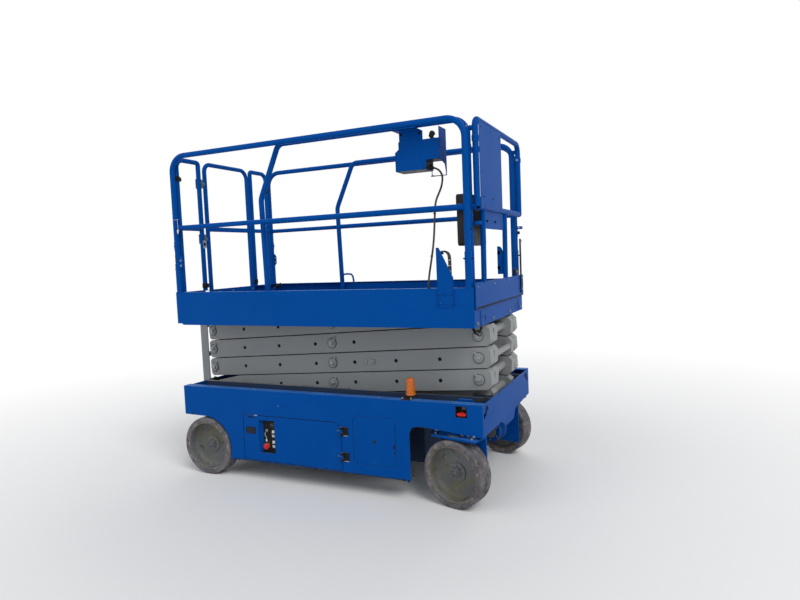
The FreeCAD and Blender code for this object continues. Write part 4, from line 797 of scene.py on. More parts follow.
def wheel(name, x, side, turn):
    """Tyre with a worn tread, dished drum, bolted hub and split-pinned nut."""
    outwards = Matrix.Rotation(turn, 3, "Z") @ Vector((0, side, 0))
    centre = Vector((x, side * half_track, tyre_radius))
    body = f"wheel_{name}"
    half = tyre_width / 2
    back = centre - outwards * half

    tyre = Piece(f"tyre_{name}_worn", "tyre_grey", body)
    profile = [(rim_radius, 0.002), (rim_radius + 0.004, 0), (rim_radius + 0.022, 0.0008)]
    profile += [(tyre_radius - 0.009 + 0.009 * math.sin(a), 0.009 - 0.009 * math.cos(a))
                for a in (0.2, 0.6, 1.0, 1.35)]
    profile += [(tyre_radius, 0.012), (tyre_radius + 0.0, 0.03), (tyre_radius, tyre_width - 0.03),
                (tyre_radius, tyre_width - 0.012)]
    profile += [(tyre_radius - 0.009 + 0.009 * math.sin(a), tyre_width - 0.009 + 0.009 * math.cos(a))
                for a in (1.35, 1.0, 0.6, 0.2)]
    profile += [(rim_radius + 0.022, tyre_width - 0.0008), (rim_radius + 0.004, tyre_width),
                (rim_radius, tyre_width - 0.002)]
    tyre.lathe(back, outwards, profile, 96, hollow=True)
    tyre.done(replaces=[f"tyre_{name}"], smooth=50)

    seam = Piece(f"seam_{name}", "rust", body)
    for depth in (0.0012, tyre_width - 0.0042):
        seam.ring(back + outwards * depth, outwards, rim_radius - 0.0022, rim_radius + 0.0024, 0.003, 96, 0.001)
    seam.done(smooth=50)

    drum = Piece(f"rim_{name}_dished", "wheel_grey", body)
    inner = rim_radius - 0.007
    face, edge = half - 0.072 + half, tyre_width
    drum.lathe(back, outwards, [
        (0.0201, face - 0.028), (0.046, face - 0.028), (0.058, face - 0.010), (inner - 0.02, face - 0.014),
        (inner, face - 0.02), (inner, 0.004), (rim_radius - 0.0015, 0.004), (rim_radius - 0.0015, edge - 0.002),
        (rim_radius - 0.003, edge - 0.0008), (inner + 0.0016, edge - 0.0008), (inner, edge - 0.003),
        (inner - 0.001, edge - 0.03), (inner - 0.0025, edge - 0.05), (inner - 0.007, face + 0.012),
        (inner - 0.016, face + 0.004), (inner - 0.028, face + 0.0005), (0.1, face), (0.066, face + 0.002),
        (0.056, face + 0.004), (0.0545, face + 0.0125), (0.051, face + 0.0145), (0.0201, face + 0.0145)], 96,
        hollow=True)
    for k in range(3):
        angle = 2 * math.pi * (k + 0.3) / 3
        spoke = outwards.orthogonal().normalized()
        spoke = Matrix.Rotation(angle, 3, outwards) @ spoke
        drum.ring(back + outwards * (face - 0.0008) + spoke * 0.112, outwards, 0.005, 0.0078, 0.0022, 20)
    drum.done(replaces=[f"rim_{name}"], smooth=38)

    nuts = Piece(f"hub_{name}", "axle_grey", body)
    hub = back + outwards * (face + 0.0145)
    first = outwards.orthogonal().normalized()
    for k in range(8):
        spoke = Matrix.Rotation(2 * math.pi * k / 8, 3, outwards) @ first
        nuts.hex_nut(hub + spoke * 0.036, outwards, 0.0085, 0.005, washer=False)
    nuts.lathe(hub, outwards, [(0.028, 0), (0.0285, 0.0012), (0.0275, 0.003), (0, 0.003)], 30)
    nuts.lathe(hub + outwards * 0.003, outwards, [(0.0245, 0), (0.0245, 0.009), (0.021, 0.0105), (0, 0.0105)], 6)
    nuts.lathe(hub + outwards * 0.0134, outwards, [(0.012, 0), (0.0118, 0.007), (0.0102, 0.0085), (0, 0.0088)], 24)
    pin = Matrix.Rotation(0.6, 3, outwards) @ first
    nuts.rod(hub + outwards * 0.0172 - pin * 0.016, hub + outwards * 0.0172 + pin * 0.016, 0.0018, 10)
    nuts.done(smooth=30)


for name, (x, side, turn) in WHEELS.items():
    wheel(name, x, side, turn)


# Steering knuckles and what hangs round them

def knuckle_details(side, name):
    body = f"knuckle_{name}"
    turn = Matrix.Rotation(-STEER_REST, 3, "Z")
    centre = Vector((front_axle, side * half_track, 0))

    def at(x, y, z):
        return centre + turn @ Vector((x, side * y, 0)) + Z * z

    collar = Piece(f"kingpin_collar_{name}", "axle_grey", body)
    collar.ring(at(0, 0, 0.4242), Z, 0.0322, 0.044, 0.009, 40, 0.002)
    collar.ring(at(0, 0, 0.4555), Z, 0.0322, 0.039, 0.012, 40, 0.0015)
    collar.done()
    bracket = Piece(f"knuckle_bracket_{name}", "paint_blue", body)
    tip, base, rise = (0.158, 0.43, 0.028) if side < 0 else (0.118, 0.4245, 0.0135)
    corners = [(0.045, 0), (tip - 0.008, 0), (tip, 0.29), (tip, 0.79), (tip - 0.008, 1), (0.05, 1), (0.045, 0.79)]
    low = [at(x, 0.008, base + rise * up) for x, up in corners]
    high = [at(x, 0.016, base + rise * up) for x, up in corners]
    first = [bracket.bm.verts.new(p) for p in low]
    last = [bracket.bm.verts.new(p) for p in high]
    bracket.bm.faces.new(first)
    bracket.bm.faces.new(last[::-1])
    for i in range(len(first)):
        j = (i + 1) % len(first)
        bracket.bm.faces.new((first[i], last[i], last[j], first[j]))
    bracket.done(bevel=0.001)
    bolts = Piece(f"knuckle_bolts_{name}", "steel", body)
    for x in (0.06, 0.1, 0.14) if side < 0 else (0.06, 0.1):
        bolts.hex_nut(at(x, 0.016, base + rise / 2), turn @ Vector((0, side, 0)), min(0.013, rise * 0.6), 0.008)
    for x in (-0.12, 0.13):
        for y in (-0.035, 0.03):
            bolts.hex_nut(at(x, y, 0.4241), Z, 0.016, 0.009)
    bolts.done()
    hose = Piece(f"motor_lead_{name}", "rubber", body)
    hose.sweep([at(-0.05, -0.17, 0.29), at(-0.058, -0.172, 0.34), at(-0.05, -0.165, 0.38), at(-0.02, -0.15, 0.4),
                at(0.0, -0.13, 0.402), at(0.02, -0.1, 0.4)], 0.006, 10)
    hose.done()
    motor = Piece(f"motor_details_{name}", "axle_grey", body)
    inwards = turn @ Vector((0, -side, 0))
    mouth = at(0, -0.197, 0.203)
    motor.ring(mouth - inwards * 0.02, inwards, 0.0781, 0.0815, 0.006, 48)
    motor.ring(mouth - inwards * 0.09, inwards, 0.0781, 0.0815, 0.006, 48)
    motor.lathe(mouth, inwards, [(0.05, 0), (0.05, 0.004), (0.046, 0.006), (0, 0.006)], 40)
    for k in range(6):
        spoke = Matrix.Rotation(math.pi * k / 3, 3, inwards) @ Vector((0, 0, 1))
        motor.hex_nut(mouth + spoke * 0.064, inwards, 0.011, 0.007)
    motor.done()


for side, name in ((-1, "near"), (1, "far")):
    knuckle_details(side, name)


# Arm stack

SPAN, PITCH, PIN_LEVEL = 2.060, 0.1345, 0.587
front_pins = MID + 1.020
rest_tilt = math.asin(PITCH / SPAN)
outer_face = 0.334


def arm_point(kind, stage, along_arm, up=0.0):
    """A place on an arm, measured back from its front pin."""
    outer = kind == "outer"
    tilt = rest_tilt if outer else -rest_tilt
    level = PIN_LEVEL + PITCH * (stage if outer else stage - 1)
    run = Vector((-math.cos(tilt), 0, -math.sin(tilt)))
    rise = Vector((-math.sin(tilt), 0, math.cos(tilt)))
    return Vector((front_pins, 0, level)) + run * along_arm + rise * up


def pin_hardware():
    """Bolt, washer and teardrop keeper on each arm pin's cap, with dark rings round keeper and nut as painted shadow.
    """
    for stage in range(1, 5):
        caps = Piece(f"pin_bolts_inner_{stage}", "steel", f"inner_{stage}")
        keepers = Piece(f"pin_keepers_inner_{stage}", "arm_grey", f"inner_{stage}")
        shadows = Piece(f"pin_shadow_rings_inner_{stage}", "rubber", f"inner_{stage}")
        ends = [SPAN / 2]
        if stage > 1:
            ends.append(0)
        if stage < 4:
            ends.append(SPAN)
        for side in (-1, 1):
            for end in ends:
                at = arm_point("inner", stage, end) + Y * side * (outer_face + 0.0095)
                out = Y * side
                keepers.lathe(at - out * 0.0088, out, [(0.0315, 0), (0.0325, 0.001), (0.0325, 0.004), (0.0310, 0.005),
                                                       (0, 0.005)], 40)
                # Dark rings round the keeper and under the nut: painted shadow.
                shadows.ring(at - out * 0.0092, out, 0.0315, 0.0352, 0.0034, 40)
                shadows.ring(at - out * 0.0042, out, 0.0150, 0.0212, 0.0012, 30)
                caps.hex_nut(at - out * 0.001, out, 0.024, 0.009)
                lean = Vector((0.5, 0, 0.86)) if end else Vector((-0.6, 0, 0.8))
                tip = at + lean * 0.042
                keepers.sweep([at - out * 0.0066, at + lean * 0.02 - out * 0.0066, tip - out * 0.0066], 0.0085, 12,
                              taper=lambda share: 1.3 - 0.45 * share)
                caps.screw_head(tip - out * 0.0005, out, 0.0065, 0.004)
        keepers.done(smooth=40)
        shadows.done()
        caps.done(smooth=30)


pin_hardware()


def arm_holes():
    """Dark rings and backing discs in the inspection holes, painted shade inside them, and tail bolts."""
    for stage in range(1, 5):
        rings = Piece(f"hole_shade_outer_{stage}", "rubber", f"outer_{stage}")
        first, last = {1: (0, 4), 2: (0, 5)}.get(stage, (2, 5))
        for side in (-1, 1):
            for k in range(first, last + 1):
                at = arm_point("outer", stage, 0.253 + 0.3035 * k) + Y * side * (outer_face - 0.006)
                rings.ring(at, Y * side, 0.0062, 0.0124, 0.0064, 24, 0.0004)
                # A dark disc closes each hole: painted shade inside it.
                rings.lathe(at - Y * side * 0.004, Y * side, [(0.012, 0), (0.012, 0.002), (0, 0.002)], 20)
        rings.done()
        small = Piece(f"tail_screws_outer_{stage}", "steel", f"outer_{stage}")
        for side in (-1, 1):
            for along_arm in (1.1, 0.95):
                small.screw_head(arm_point("outer", stage, along_arm, 0.04) + Y * side * outer_face, Y * side,
                                 0.0045, 0.0025)
            if stage == 1:
                for along_arm, up in ((1.88, 0.012), (1.93, -0.004), (1.985, -0.03), (1.80, 0.03), (1.72, 0.036)):
                    small.screw_head(arm_point("outer", 1, along_arm, up) + Y * side * outer_face, Y * side,
                                     0.0065, 0.0035)
        small.done()


arm_holes()


def cross_tube_welds():
    """Weld beads where the cross tubes meet the inner arms."""
    inner_in = 0.334 - 0.080 - 0.007 - 0.080
    for stage in range(1, 5):
        beads = Piece(f"weld_beads_inner_{stage}", "arm_grey", f"inner_{stage}")
        spots = [] if stage == 3 else [(0, 0, 0.030)]
        if stage == 3:
            spots.append((-0.052, 0, 0.020))
        if stage < 4:
            spots.append((SPAN, 0, 0.030))
        else:
            spots.append((SPAN - 0.56, -0.034, 0.018))
        for along_arm, up, radius in spots:
            at = arm_point("inner", stage, along_arm, up)
            for side in (-1, 1):
                points = []
                for i in range(48):
                    angle = 2 * math.pi * i / 48
                    wobble = 0.0006 * math.sin(i * 2.3) + 0.0004 * math.sin(i * 5.1)
                    points.append(at + Vector((math.cos(angle), 0, math.sin(angle))) * (radius + 0.001 + wobble)
                                  + Y * side * (inner_in - 0.001))
                beads.sweep(points, 0.0034, 8, closed=True)
        beads.done(smooth=60)


cross_tube_welds()


# Near side of the chassis: door latch, slot, hinges, cover catch, switch recess

FACE = 0.585
DOOR_REAR, DOOR_FRONT, DOOR_LOW, DOOR_TOP = -0.533, 0.233, 0.149, 0.453
HINGE_X, HINGE_LEVELS = 0.242, (0.241, 0.4055)


def oval(x0, z0, x1, z1, steps=10):
    """A bar with half-round ends, as an outline."""
    radius = (z1 - z0) / 2
    return rounded(x0, z0, x1, z1, radius * 0.998, steps)


def door_details(side, name):
    """Paddle latch in its recess, dark slot behind the sheet as painted shade, and hinge screws."""
    body = "tray_near" if side < 0 else "tray_far"
    face = side * FACE
    latch = Piece(f"latch_{name}", "black_plastic", body)
    x0, x1 = DOOR_REAR + 0.019, DOOR_REAR + 0.097
    z0, z1 = DOOR_TOP - 0.1232, DOOR_TOP - 0.0798
    back = face - side * 0.003
    frame_bar = 0.0045
    for low, high in (((x0, z0), (x1, z0 + frame_bar)), ((x0, z1 - frame_bar), (x1, z1)),
                      ((x0, z0), (x0 + frame_bar, z1)), ((x1 - frame_bar, z0), (x1, z1))):
        latch.box((low[0], back, low[1]), (high[0], face + side * 0.0014, high[1]))
    latch.slab([(x0 + 0.008, z0 + 0.009), (x1 - 0.008, z0 + 0.009), (x1 - 0.008, z1 - 0.012), (x1 - 0.011, z1 - 0.008),
                (x0 + 0.011, z1 - 0.008), (x0 + 0.008, z1 - 0.012)], "y", back, side * 0.0034)
    latch.slab(rounded((x0 + x1) / 2 - 0.022, z0 + 0.0115, (x0 + x1) / 2 + 0.022, z0 + 0.019, 0.003), "y",
               back + side * 0.0034, side * 0.0012)
    latch.lathe(((x0 + x1) / 2, back + side * 0.0034, z1 - 0.017), Y * side,
                [(0.0055, 0), (0.0055, 0.001), (0.0042, 0.0016), (0.0012, 0.0014), (0, 0.0014)], 20)
    latch.done(bevel=0.0006)
    # The lip is black to paint the shade of the slot under the latch.
    lip = Piece(f"latch_lip_{name}", "black_metal", body)
    lip.box((x0 + 0.001, face - side * 0.0005, z0 - 0.0034), (x1 - 0.001, face + side * 0.0016, z0 - 0.0008))
    lip.done(bevel=0.0005)
    # Dark box behind the slot: painted shade inside it.
    dark = Piece(f"slot_shade_backing_{name}", "rubber", body)
    dark.box((DOOR_REAR + 0.034, face - side * 0.0095, DOOR_TOP - 0.021),
             (DOOR_REAR + 0.1, face - side * 0.0063, DOOR_TOP - 0.004))
    dark.done()
    screws = Piece(f"door_screws_{name}", "steel", body)
    for level in HINGE_LEVELS:
        for reach in (0.021, 0.009):
            screws.screw_head((DOOR_FRONT - reach, face + side * 0.004, level), Y * side, 0.0032, 0.0018)
    screws.done()


def hinge_details(side, name):
    """Screws on the fixed leaves, and the light lower lips."""
    face = side * FACE
    screws = Piece(f"leaf_screws_{name}", "black_metal", "chassis")
    lips = Piece(f"leaf_lips_{name}", "pale", "chassis")
    for level in HINGE_LEVELS:
        for lift in (-0.018, 0.018):
            screws.screw_head((HINGE_X + 0.034, face + side * 0.004, level + lift), Y * side, 0.0038, 0.002)
        lips.box((HINGE_X + 0.012, face, level - 0.0302), (HINGE_X + 0.045, face + side * 0.0035, level - 0.0275))
        for foot in (level - 0.0276, level + 0.0266):
            screws.lathe((HINGE_X, side * 0.595, foot), Z, [(0.0052, 0), (0.006, 0.0004), (0.0052, 0.001), (0, 0.001)], 18)
    screws.done()
    lips.done(bevel=0.0005)


def cover_details(side, name):
    """Catch and turn fasteners on the cover ahead of the door."""
    face = side * FACE
    catch = Piece(f"cover_catch_{name}", "black_metal", "chassis")
    catch.slab(rounded(0.6015, 0.3225, 0.6125, 0.3475, 0.003), "y", face, side * 0.0032)
    catch.slab(rounded(0.6035, 0.2875, 0.6105, 0.3015, 0.0025), "y", face, side * 0.0014)
    catch.done(bevel=0.0004)
    hole = Piece(f"cover_lock_{name}", "black_plastic", "chassis")
    hole.lathe((0.471, face, 0.356), Y * side, [(0.0105, 0), (0.0105, 0.0008), (0.009, 0.0014), (0.0084, 0.0004),
                                                (0, 0.0004)], 24)
    hole.done()
    dots = Piece(f"skirt_dots_{name}", "steel", "chassis")
    dots.screw_head((-0.239, face, 0.533), Y * side, 0.004, 0.0014)
    dots.done()


def recess_details(side, name):
    """Cut-off switch in the recess near the front end: dark lining, red grip, small grey plate."""
    face = side * FACE
    back = face - side * 0.036
    x0, x1, z0, z1 = 1.005, 1.075, 0.548, 0.616
    lining = Piece(f"recess_lining_{name}", "rubber", "chassis")
    lining.box((x0 + 0.0006, back, z0 + 0.0006), (x1 - 0.0006, back + side * 0.002, z1 - 0.0006))
    for low, high in (((x0 + 0.0005, z0 + 0.0005), (x0 + 0.0025, z1 - 0.0005)),
                      ((x1 - 0.0025, z0 + 0.0005), (x1 - 0.0005, z1 - 0.0005)),
                      ((x0 + 0.0025, z0 + 0.0005), (x1 - 0.0025, z0 + 0.0025)),
                      ((x0 + 0.0025, z1 - 0.0025), (x1 - 0.0025, z1 - 0.0005))):
        lining.box((low[0], back, low[1]), (high[0], face - side * 0.001, high[1]))
    lining.done()
    grip = Piece(f"isolator_grip_{name}", "red", "chassis")
    middle = (x0 + x1) / 2
    grip.slab(oval(middle - 0.027, 0.557, middle + 0.027, 0.575), "y", face - side * 0.02, side * 0.016)
    grip.lathe((middle, face - side * 0.034, 0.566), Y * side, [(0.011, 0), (0.011, 0.012), (0.0135, 0.014), (0, 0.014)], 28)
    grip.done(bevel=0.002, segments=3)
    tag = Piece(f"isolator_plate_{name}", "wheel_grey", "chassis")
    tag.slab(rounded(middle - 0.004, 0.59, middle + 0.02, 0.606, 0.003), "y", back + side * 0.002, side * 0.003)
    tag.screw_head((middle + 0.008, back + side * 0.005, 0.598), Y * side, 0.0035, 0.0015)
    tag.done(bevel=0.0004)


for side, name in ((-1, "near"), (1, "far")):
    door_details(side, name)
    hinge_details(side, name)
    cover_details(side, name)
    recess_details(side, name)


# Ground controls set back in the near door

def ground_panel():
    x0, x1, z0, z1 = -0.405, -0.277, 0.203, 0.427
    floor = -0.557
    rim = Piece("control_window_rim", "paint_blue", "tray_near")
    for low, high in (((x0 - 0.0035, z0 - 0.0035), (x0, z1 + 0.0035)), ((x1, z0 - 0.0035), (x1 + 0.0035, z1 + 0.0035)),
                      ((x0, z0 - 0.0035), (x1, z0)), ((x0, z1), (x1, z1 + 0.0035))):
        rim.box((low[0], -0.5868, low[1]), (high[0], -0.5852, high[1]))
    rim.done(bevel=0.0005)
    wall = Piece("control_well_side", "paint_blue", "tray_near")
    wall.slab([(x0 + 0.0006, -0.5785), (x0 + 0.004, -0.5785), (x0 + 0.017, floor - 0.0004), (x0 + 0.0006, floor - 0.0004)],
              "z", z0 + 0.001, z1 - z0 - 0.002)
    wall.done(bevel=0.0006)
    plate = Piece("control_panel", "black_metal", "tray_near")
    plate.slab(rounded(x0 + 0.02, z0 + 0.004, x1 - 0.003, z1 - 0.004, 0.006), "y", floor - 0.0022, 0.002)
    for x in (x0 + 0.027, x1 - 0.01):
        for z in (z0 + 0.012, z1 - 0.012):
            plate.screw_head((x, floor - 0.0022, z), -Y, 0.0034, 0.0016)
    plate.done(bevel=0.0004)
    dial = Piece("hour_dial", "black_plastic", "tray_near")
    centre = Vector((x1 - 0.033, floor - 0.0022, z1 - 0.038))
    dial.lathe(centre, -Y, [(0.021, 0), (0.0215, 0.0015), (0.0205, 0.005), (0.0185, 0.0055), (0.0178, 0.0035),
                            (0, 0.0035)], 40)
    dial.done()
    ticks = Piece("dial_ticks", "pale", "tray_near")
    for k in range(9):
        spoke = Matrix.Rotation(math.radians(-120 + 30 * k), 3, "Y") @ Vector((0, 0, 1))
        ticks.sweep([centre - Y * 0.0037 + spoke * 0.0125, centre - Y * 0.0037 + spoke * 0.0165], 0.0006, 6)
    hand = Matrix.Rotation(math.radians(-35), 3, "Y") @ Vector((0, 0, 1))
    ticks.sweep([centre - Y * 0.0044 - hand * 0.003, centre - Y * 0.0044 + hand * 0.0135], 0.0007, 6)
    ticks.screw_head(centre - Y * 0.0035, -Y, 0.0022, 0.0014)
    ticks.done()
    key_at = Vector((x0 + 0.043, floor - 0.0022, z1 - 0.078))
    lock = Piece("key_lock", "steel", "tray_near")
    lock.lathe(key_at, -Y, [(0.011, 0), (0.011, 0.002), (0.0085, 0.0035), (0.0085, 0.006), (0.007, 0.0068), (0, 0.0068)], 24)
    lock.slab(rounded(key_at.x - 0.0011, key_at.z - 0.0075, key_at.x + 0.0011, key_at.z + 0.0075, 0.001), "y",
              key_at.y - 0.014, 0.0075)
    lock.done(bevel=0.0003)
    fob = Piece("key_fob", "pale", "tray_near")
    fob.sweep([key_at + Vector((0, -0.0115, -0.005)), key_at + Vector((-0.006, -0.013, -0.017)),
               key_at + Vector((-0.004, -0.0125, -0.031)), key_at + Vector((0.003, -0.011, -0.044)),
               key_at + Vector((0.001, -0.0085, -0.056))], 0.0016, 8)
    fob.slab(rounded(key_at.x - 0.005, key_at.z - 0.073, key_at.x + 0.007, key_at.z - 0.055, 0.004), "y",
             key_at.y - 0.009, 0.0028)
    fob.done(bevel=0.0006)
    rocker_frame = Piece("rocker_frames", "black_plastic", "tray_near")
    rocker = Piece("rocker_keys", "pale", "tray_near")
    for k, z in enumerate((z0 + 0.026, z0 + 0.062, z0 + 0.098, z0 + 0.132)):
        rocker_frame.slab(rounded(x1 - 0.041, z, x1 - 0.0125, z + 0.03, 0.003), "y", floor - 0.0078, 0.0056)
        lean = 0.0035 if k % 2 else -0.0035
        low = [(x1 - 0.037, floor - 0.0098 - lean, z + 0.0035), (x1 - 0.0165, floor - 0.0098 - lean, z + 0.0035),
               (x1 - 0.0165, floor - 0.0098 + lean, z + 0.0265), (x1 - 0.037, floor - 0.0098 + lean, z + 0.0265)]
        first = [rocker.bm.verts.new(Vector(p)) for p in low]
        last = [rocker.bm.verts.new(Vector((p[0], floor - 0.0068, p[2]))) for p in low]
        rocker.bm.faces.new(first)
        rocker.bm.faces.new(last[::-1])
        for i in range(4):
            j = (i + 1) % 4
            rocker.bm.faces.new((first[i], last[i], last[j], first[j]))
    rocker_frame.done(bevel=0.0006)
    rocker.done(bevel=0.0008)
    stop = Piece("stop_button", "red", "tray_near")
    at = Vector((x0 + 0.046, floor - 0.0022, z0 + 0.042))
    stop.lathe(at - Y * 0.0125, -Y, [(0.0135, 0), (0.0205, 0.0018), (0.0216, 0.0045), (0.0205, 0.0085), (0.016, 0.0112),
                                     (0.008, 0.0126), (0, 0.013)], 40)
    stop.done()
    collar = Piece("stop_collar", "brass", "tray_near")
    collar.lathe(at, -Y, [(0.0185, 0), (0.0185, 0.003), (0.0165, 0.0042), (0.0125, 0.0045), (0.012, 0.0128), (0, 0.0128)], 32)
    collar.done(bevel=0.0003)


ground_panel()


# Beacon

def beacon_details():
    low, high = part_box("beacon_lens")
    centre = Vector(((low.x + high.x) / 2, (low.y + high.y) / 2, low.z))
    lens = Piece("beacon_lens_ribbed", "amber", "chassis")
    profile = [(0.0, 0.0), (0.0302, 0.0), (0.0308, 0.002), (0.0308, 0.012), (0.0296, 0.0138)]
    for k in range(14):
        height = 0.015 + k * 0.0056
        radius = 0.0296 - 0.0046 * k / 13
        profile += [(radius, height), (radius - 0.0009, height + 0.0028)]
    profile += [(0.0248, 0.0955), (0.0232, 0.101), (0.019, 0.106), (0.010, 0.1092), (0, 0.11)]
    lens.lathe(centre, Z, profile, 56)
    lens.done(replaces=["beacon_lens"], smooth=45)
    core = Piece("beacon_core", "pale", "chassis")
    core.lathe(centre - Z * 0.0006, Z, [(0.0335, 0), (0.0335, 0.0004), (0, 0.0004)], 40)
    core.done()
    foot = Piece("beacon_foot_details", "rubber", "chassis")
    foot.ring(centre - Z * 0.0118, Z, 0.0362, 0.0375, 0.006, 48, 0.0008)
    foot.ring(centre - Z * 0.0002, Z, 0.0312, 0.0345, 0.0055, 48, 0.001)
    foot.done()
    bolts = Piece("beacon_bolts", "steel", "chassis")
    for x in (0.663, 0.719):
        bolts.hex_nut((x, -0.562, 0.632), Z, 0.010, 0.006)
    bolts.done()
    wire = Piece("beacon_wire", "rubber", "chassis")
    wire.sweep([(0.727, -0.488, 0.635), (0.738, -0.482, 0.6345), (0.75, -0.474, 0.632), (0.757, -0.468, 0.618),
                (0.758, -0.466, 0.59), (0.757, -0.466, 0.56)], 0.003, 10)
    wire.done()


beacon_details()


# Ends of the chassis: tie-down rims, screws, painted slot shade, corner welds, lock bracket, stop bar, studs, hoses and
# manifold of the well

def chassis_ends():
    rims = Piece("tie_down_rims", "black_metal", "chassis")
    for x, out in ((1.167, X), (-1.053, -X)):
        for side in (-1, 1):
            rims.ring((x, side * 0.495, 0.59), out, 0.0158, 0.0205, 0.0035, 36, 0.001)
    rims.done()
    screws = Piece("end_screws", "steel", "chassis")
    for side in (-1, 1):
        for z in (0.475, 0.535, 0.602):
            screws.screw_head((-1.053, side * 0.563, z), -X, 0.0065, 0.0035)
        for x in (-0.92, -0.45, 0.1, 0.5):
            screws.screw_head((x, side * 0.557, 0.628), Z, 0.006, 0.003)
    screws.done()
    # Dark ovals on the end face: painted shade of its slots.
    slots = Piece("end_slot_shade", "rubber", "chassis")
    for y, z in ((-0.545, 0.557), (-0.518, 0.566), (0.53, 0.56)):
        slots.slab(oval(y - 0.003, z - 0.013, y + 0.003, z + 0.013), "x", 1.167, 0.0007)
    slots.done()
    seams = Piece("corner_welds", "paint_blue", "chassis")
    for side in (-1, 1):
        for x in (1.1665, -1.0525):
            points = [(x - math.copysign(0.001, x), side * (0.5785 + 0.0004 * math.sin(k * 1.7)), 0.441 + k * 0.0053)
                      for k in range(35)]
            seams.sweep(points, 0.0026, 8)
    seams.done(smooth=60)
    blue = Piece("front_lock_bracket", "paint_blue", "chassis")
    blue.slab([(0.988, 0.4765), (1.082, 0.4765), (1.082, 0.628), (1.073, 0.637), (0.997, 0.637), (0.988, 0.628)], "y",
              -0.497, 0.012)
    blue.done(bevel=0.0012)
    knob = Piece("front_lock_knob", "black_plastic", "chassis")
    knob.lathe((1.035, -0.497, 0.6), -Y, [(0.009, 0), (0.009, 0.004), (0.0135, 0.0055), (0.0135, 0.012), (0.012, 0.0138),
                                         (0, 0.0142)], 26)
    knob.done()
    bar = Piece("front_stop_bar", "rubber", "chassis")
    start, end = Vector((1.115, -0.5225, 0.6345)), Vector((1.143, -0.386, 0.6345))
    ahead = (end - start).normalized()
    aside = Vector((-ahead.y, ahead.x, 0)) * 0.0085
    outline = [start - aside, end - aside, end + aside, start + aside]
    bar.slab([(p.x, p.y) for p in outline], "z", 0.628, 0.0125)
    bar.done(bevel=0.003, segments=3)
    stud = Piece("rear_studs", "rubber", "chassis")
    for side in (-1, 1):
        stud.lathe((-0.985, side * 0.575, 0.4375), -Z, [(0.012, 0), (0.0125, 0.002), (0.0125, 0.012), (0.0105, 0.0145),
                                                       (0, 0.015)], 26)
    stud.done()
    hoses = Piece("well_hoses", "rubber", "chassis")
    for y, drop in ((-0.43, 0.0), (-0.41, 0.012)):
        hoses.sweep([(0.55, y, 0.4835 + drop * 0.2), (0.68, y + 0.006, 0.484), (0.8, y - 0.012, 0.4838 + drop * 0.3),
                     (0.9, y - 0.004, 0.4845), (0.965, y + 0.012, 0.4842), (0.99, y + 0.02, 0.4835)], 0.0065, 12)
    hoses.done()
    pump = Piece("well_manifold", "arm_grey", "chassis")
    pump.slab(rounded(0.99, -0.43, 1.06, -0.36, 0.006), "z", 0.476, 0.05)
    for k, (x, y) in enumerate(((1.005, -0.41), (1.03, -0.41), (1.005, -0.38), (1.045, -0.38))):
        pump.hex_nut((x, y, 0.526), Z, 0.016, 0.012 + 0.004 * (k % 2))
    pump.done(bevel=0.001)


chassis_ends()


# Pothole guards: collars on the shafts and stiffening beads on the flaps

def guard_details(side, name):
    low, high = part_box(f"guard_{name}")
    parts = Piece(f"guard_collars_{name}", "black_metal", f"guard_{name}")
    for x in (low.x + 0.035, 0.02, high.x - 0.035):
        parts.ring((x - 0.008, side * 0.565, 0.134), X, 0.0072, 0.0096, 0.016, 28, 0.001)
    for x in (-0.4, -0.1, 0.2, 0.5):
        parts.slab(oval(x - 0.06, side * 0.515 - 0.006, x + 0.06, side * 0.515 + 0.006), "z", 0.131, -0.0018)
    parts.done(bevel=0.0005)


for side, name in ((-1, "near"), (1, "far")):
    guard_details(side, name)


# Ladder

def ladder_details():
    grips = Piece("ladder_treads", "black_metal", "chassis")
    low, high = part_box("ladder")
    top, foot, back = high.z, low.z, low.x
    for i in range(4):
        z = foot + 0.030 + (0.94 - 0.04) / 4 * i + 0.026
        for k in range(9):
            y = -0.19 + 0.0475 * k
            grips.lathe((back + 0.034, y, z), Z, [(0.0072, 0), (0.0066, 0.0022), (0.0046, 0.0024), (0.004, 0.0006),
                                                 (0, 0.0006)], 14)
    grips.done()
    bolts = Piece("ladder_bolts", "steel", "chassis")
    for side in (-1, 1):
        for z in (0.47, 0.59):
            for x in (back + 0.052, back + 0.062):
                bolts.hex_nut((x, side * 0.2232, z + (0.01 if x > back + 0.055 else -0.01)), -Y * side, 0.009, 0.005)
            bolts.screw_head((back + 0.058, side * 0.235, z), Y * side, 0.007, 0.003)
    bolts.done()
    caps = Piece("ladder_feet", "rubber", "chassis")
    for side in (-1, 1):
        y = side * 0.232
        caps.box((back + 0.002, y - 0.0042, foot - 0.0002), (back + 0.066, y + 0.0042, foot + 0.014))
    caps.done(bevel=0.0012)


ladder_details()


# Platform: deck details

REAR_POST, FRONT_POST, NOSE = -1.058, 1.104, 1.150
RAIL_Y, INNER_Y, MID_RAIL, RAIL_TOP = 0.555, 0.500, 1.754, 2.252
TOE_TOP, FLOOR_TOP, DECK_LOW = 1.297, 1.170, 1.066


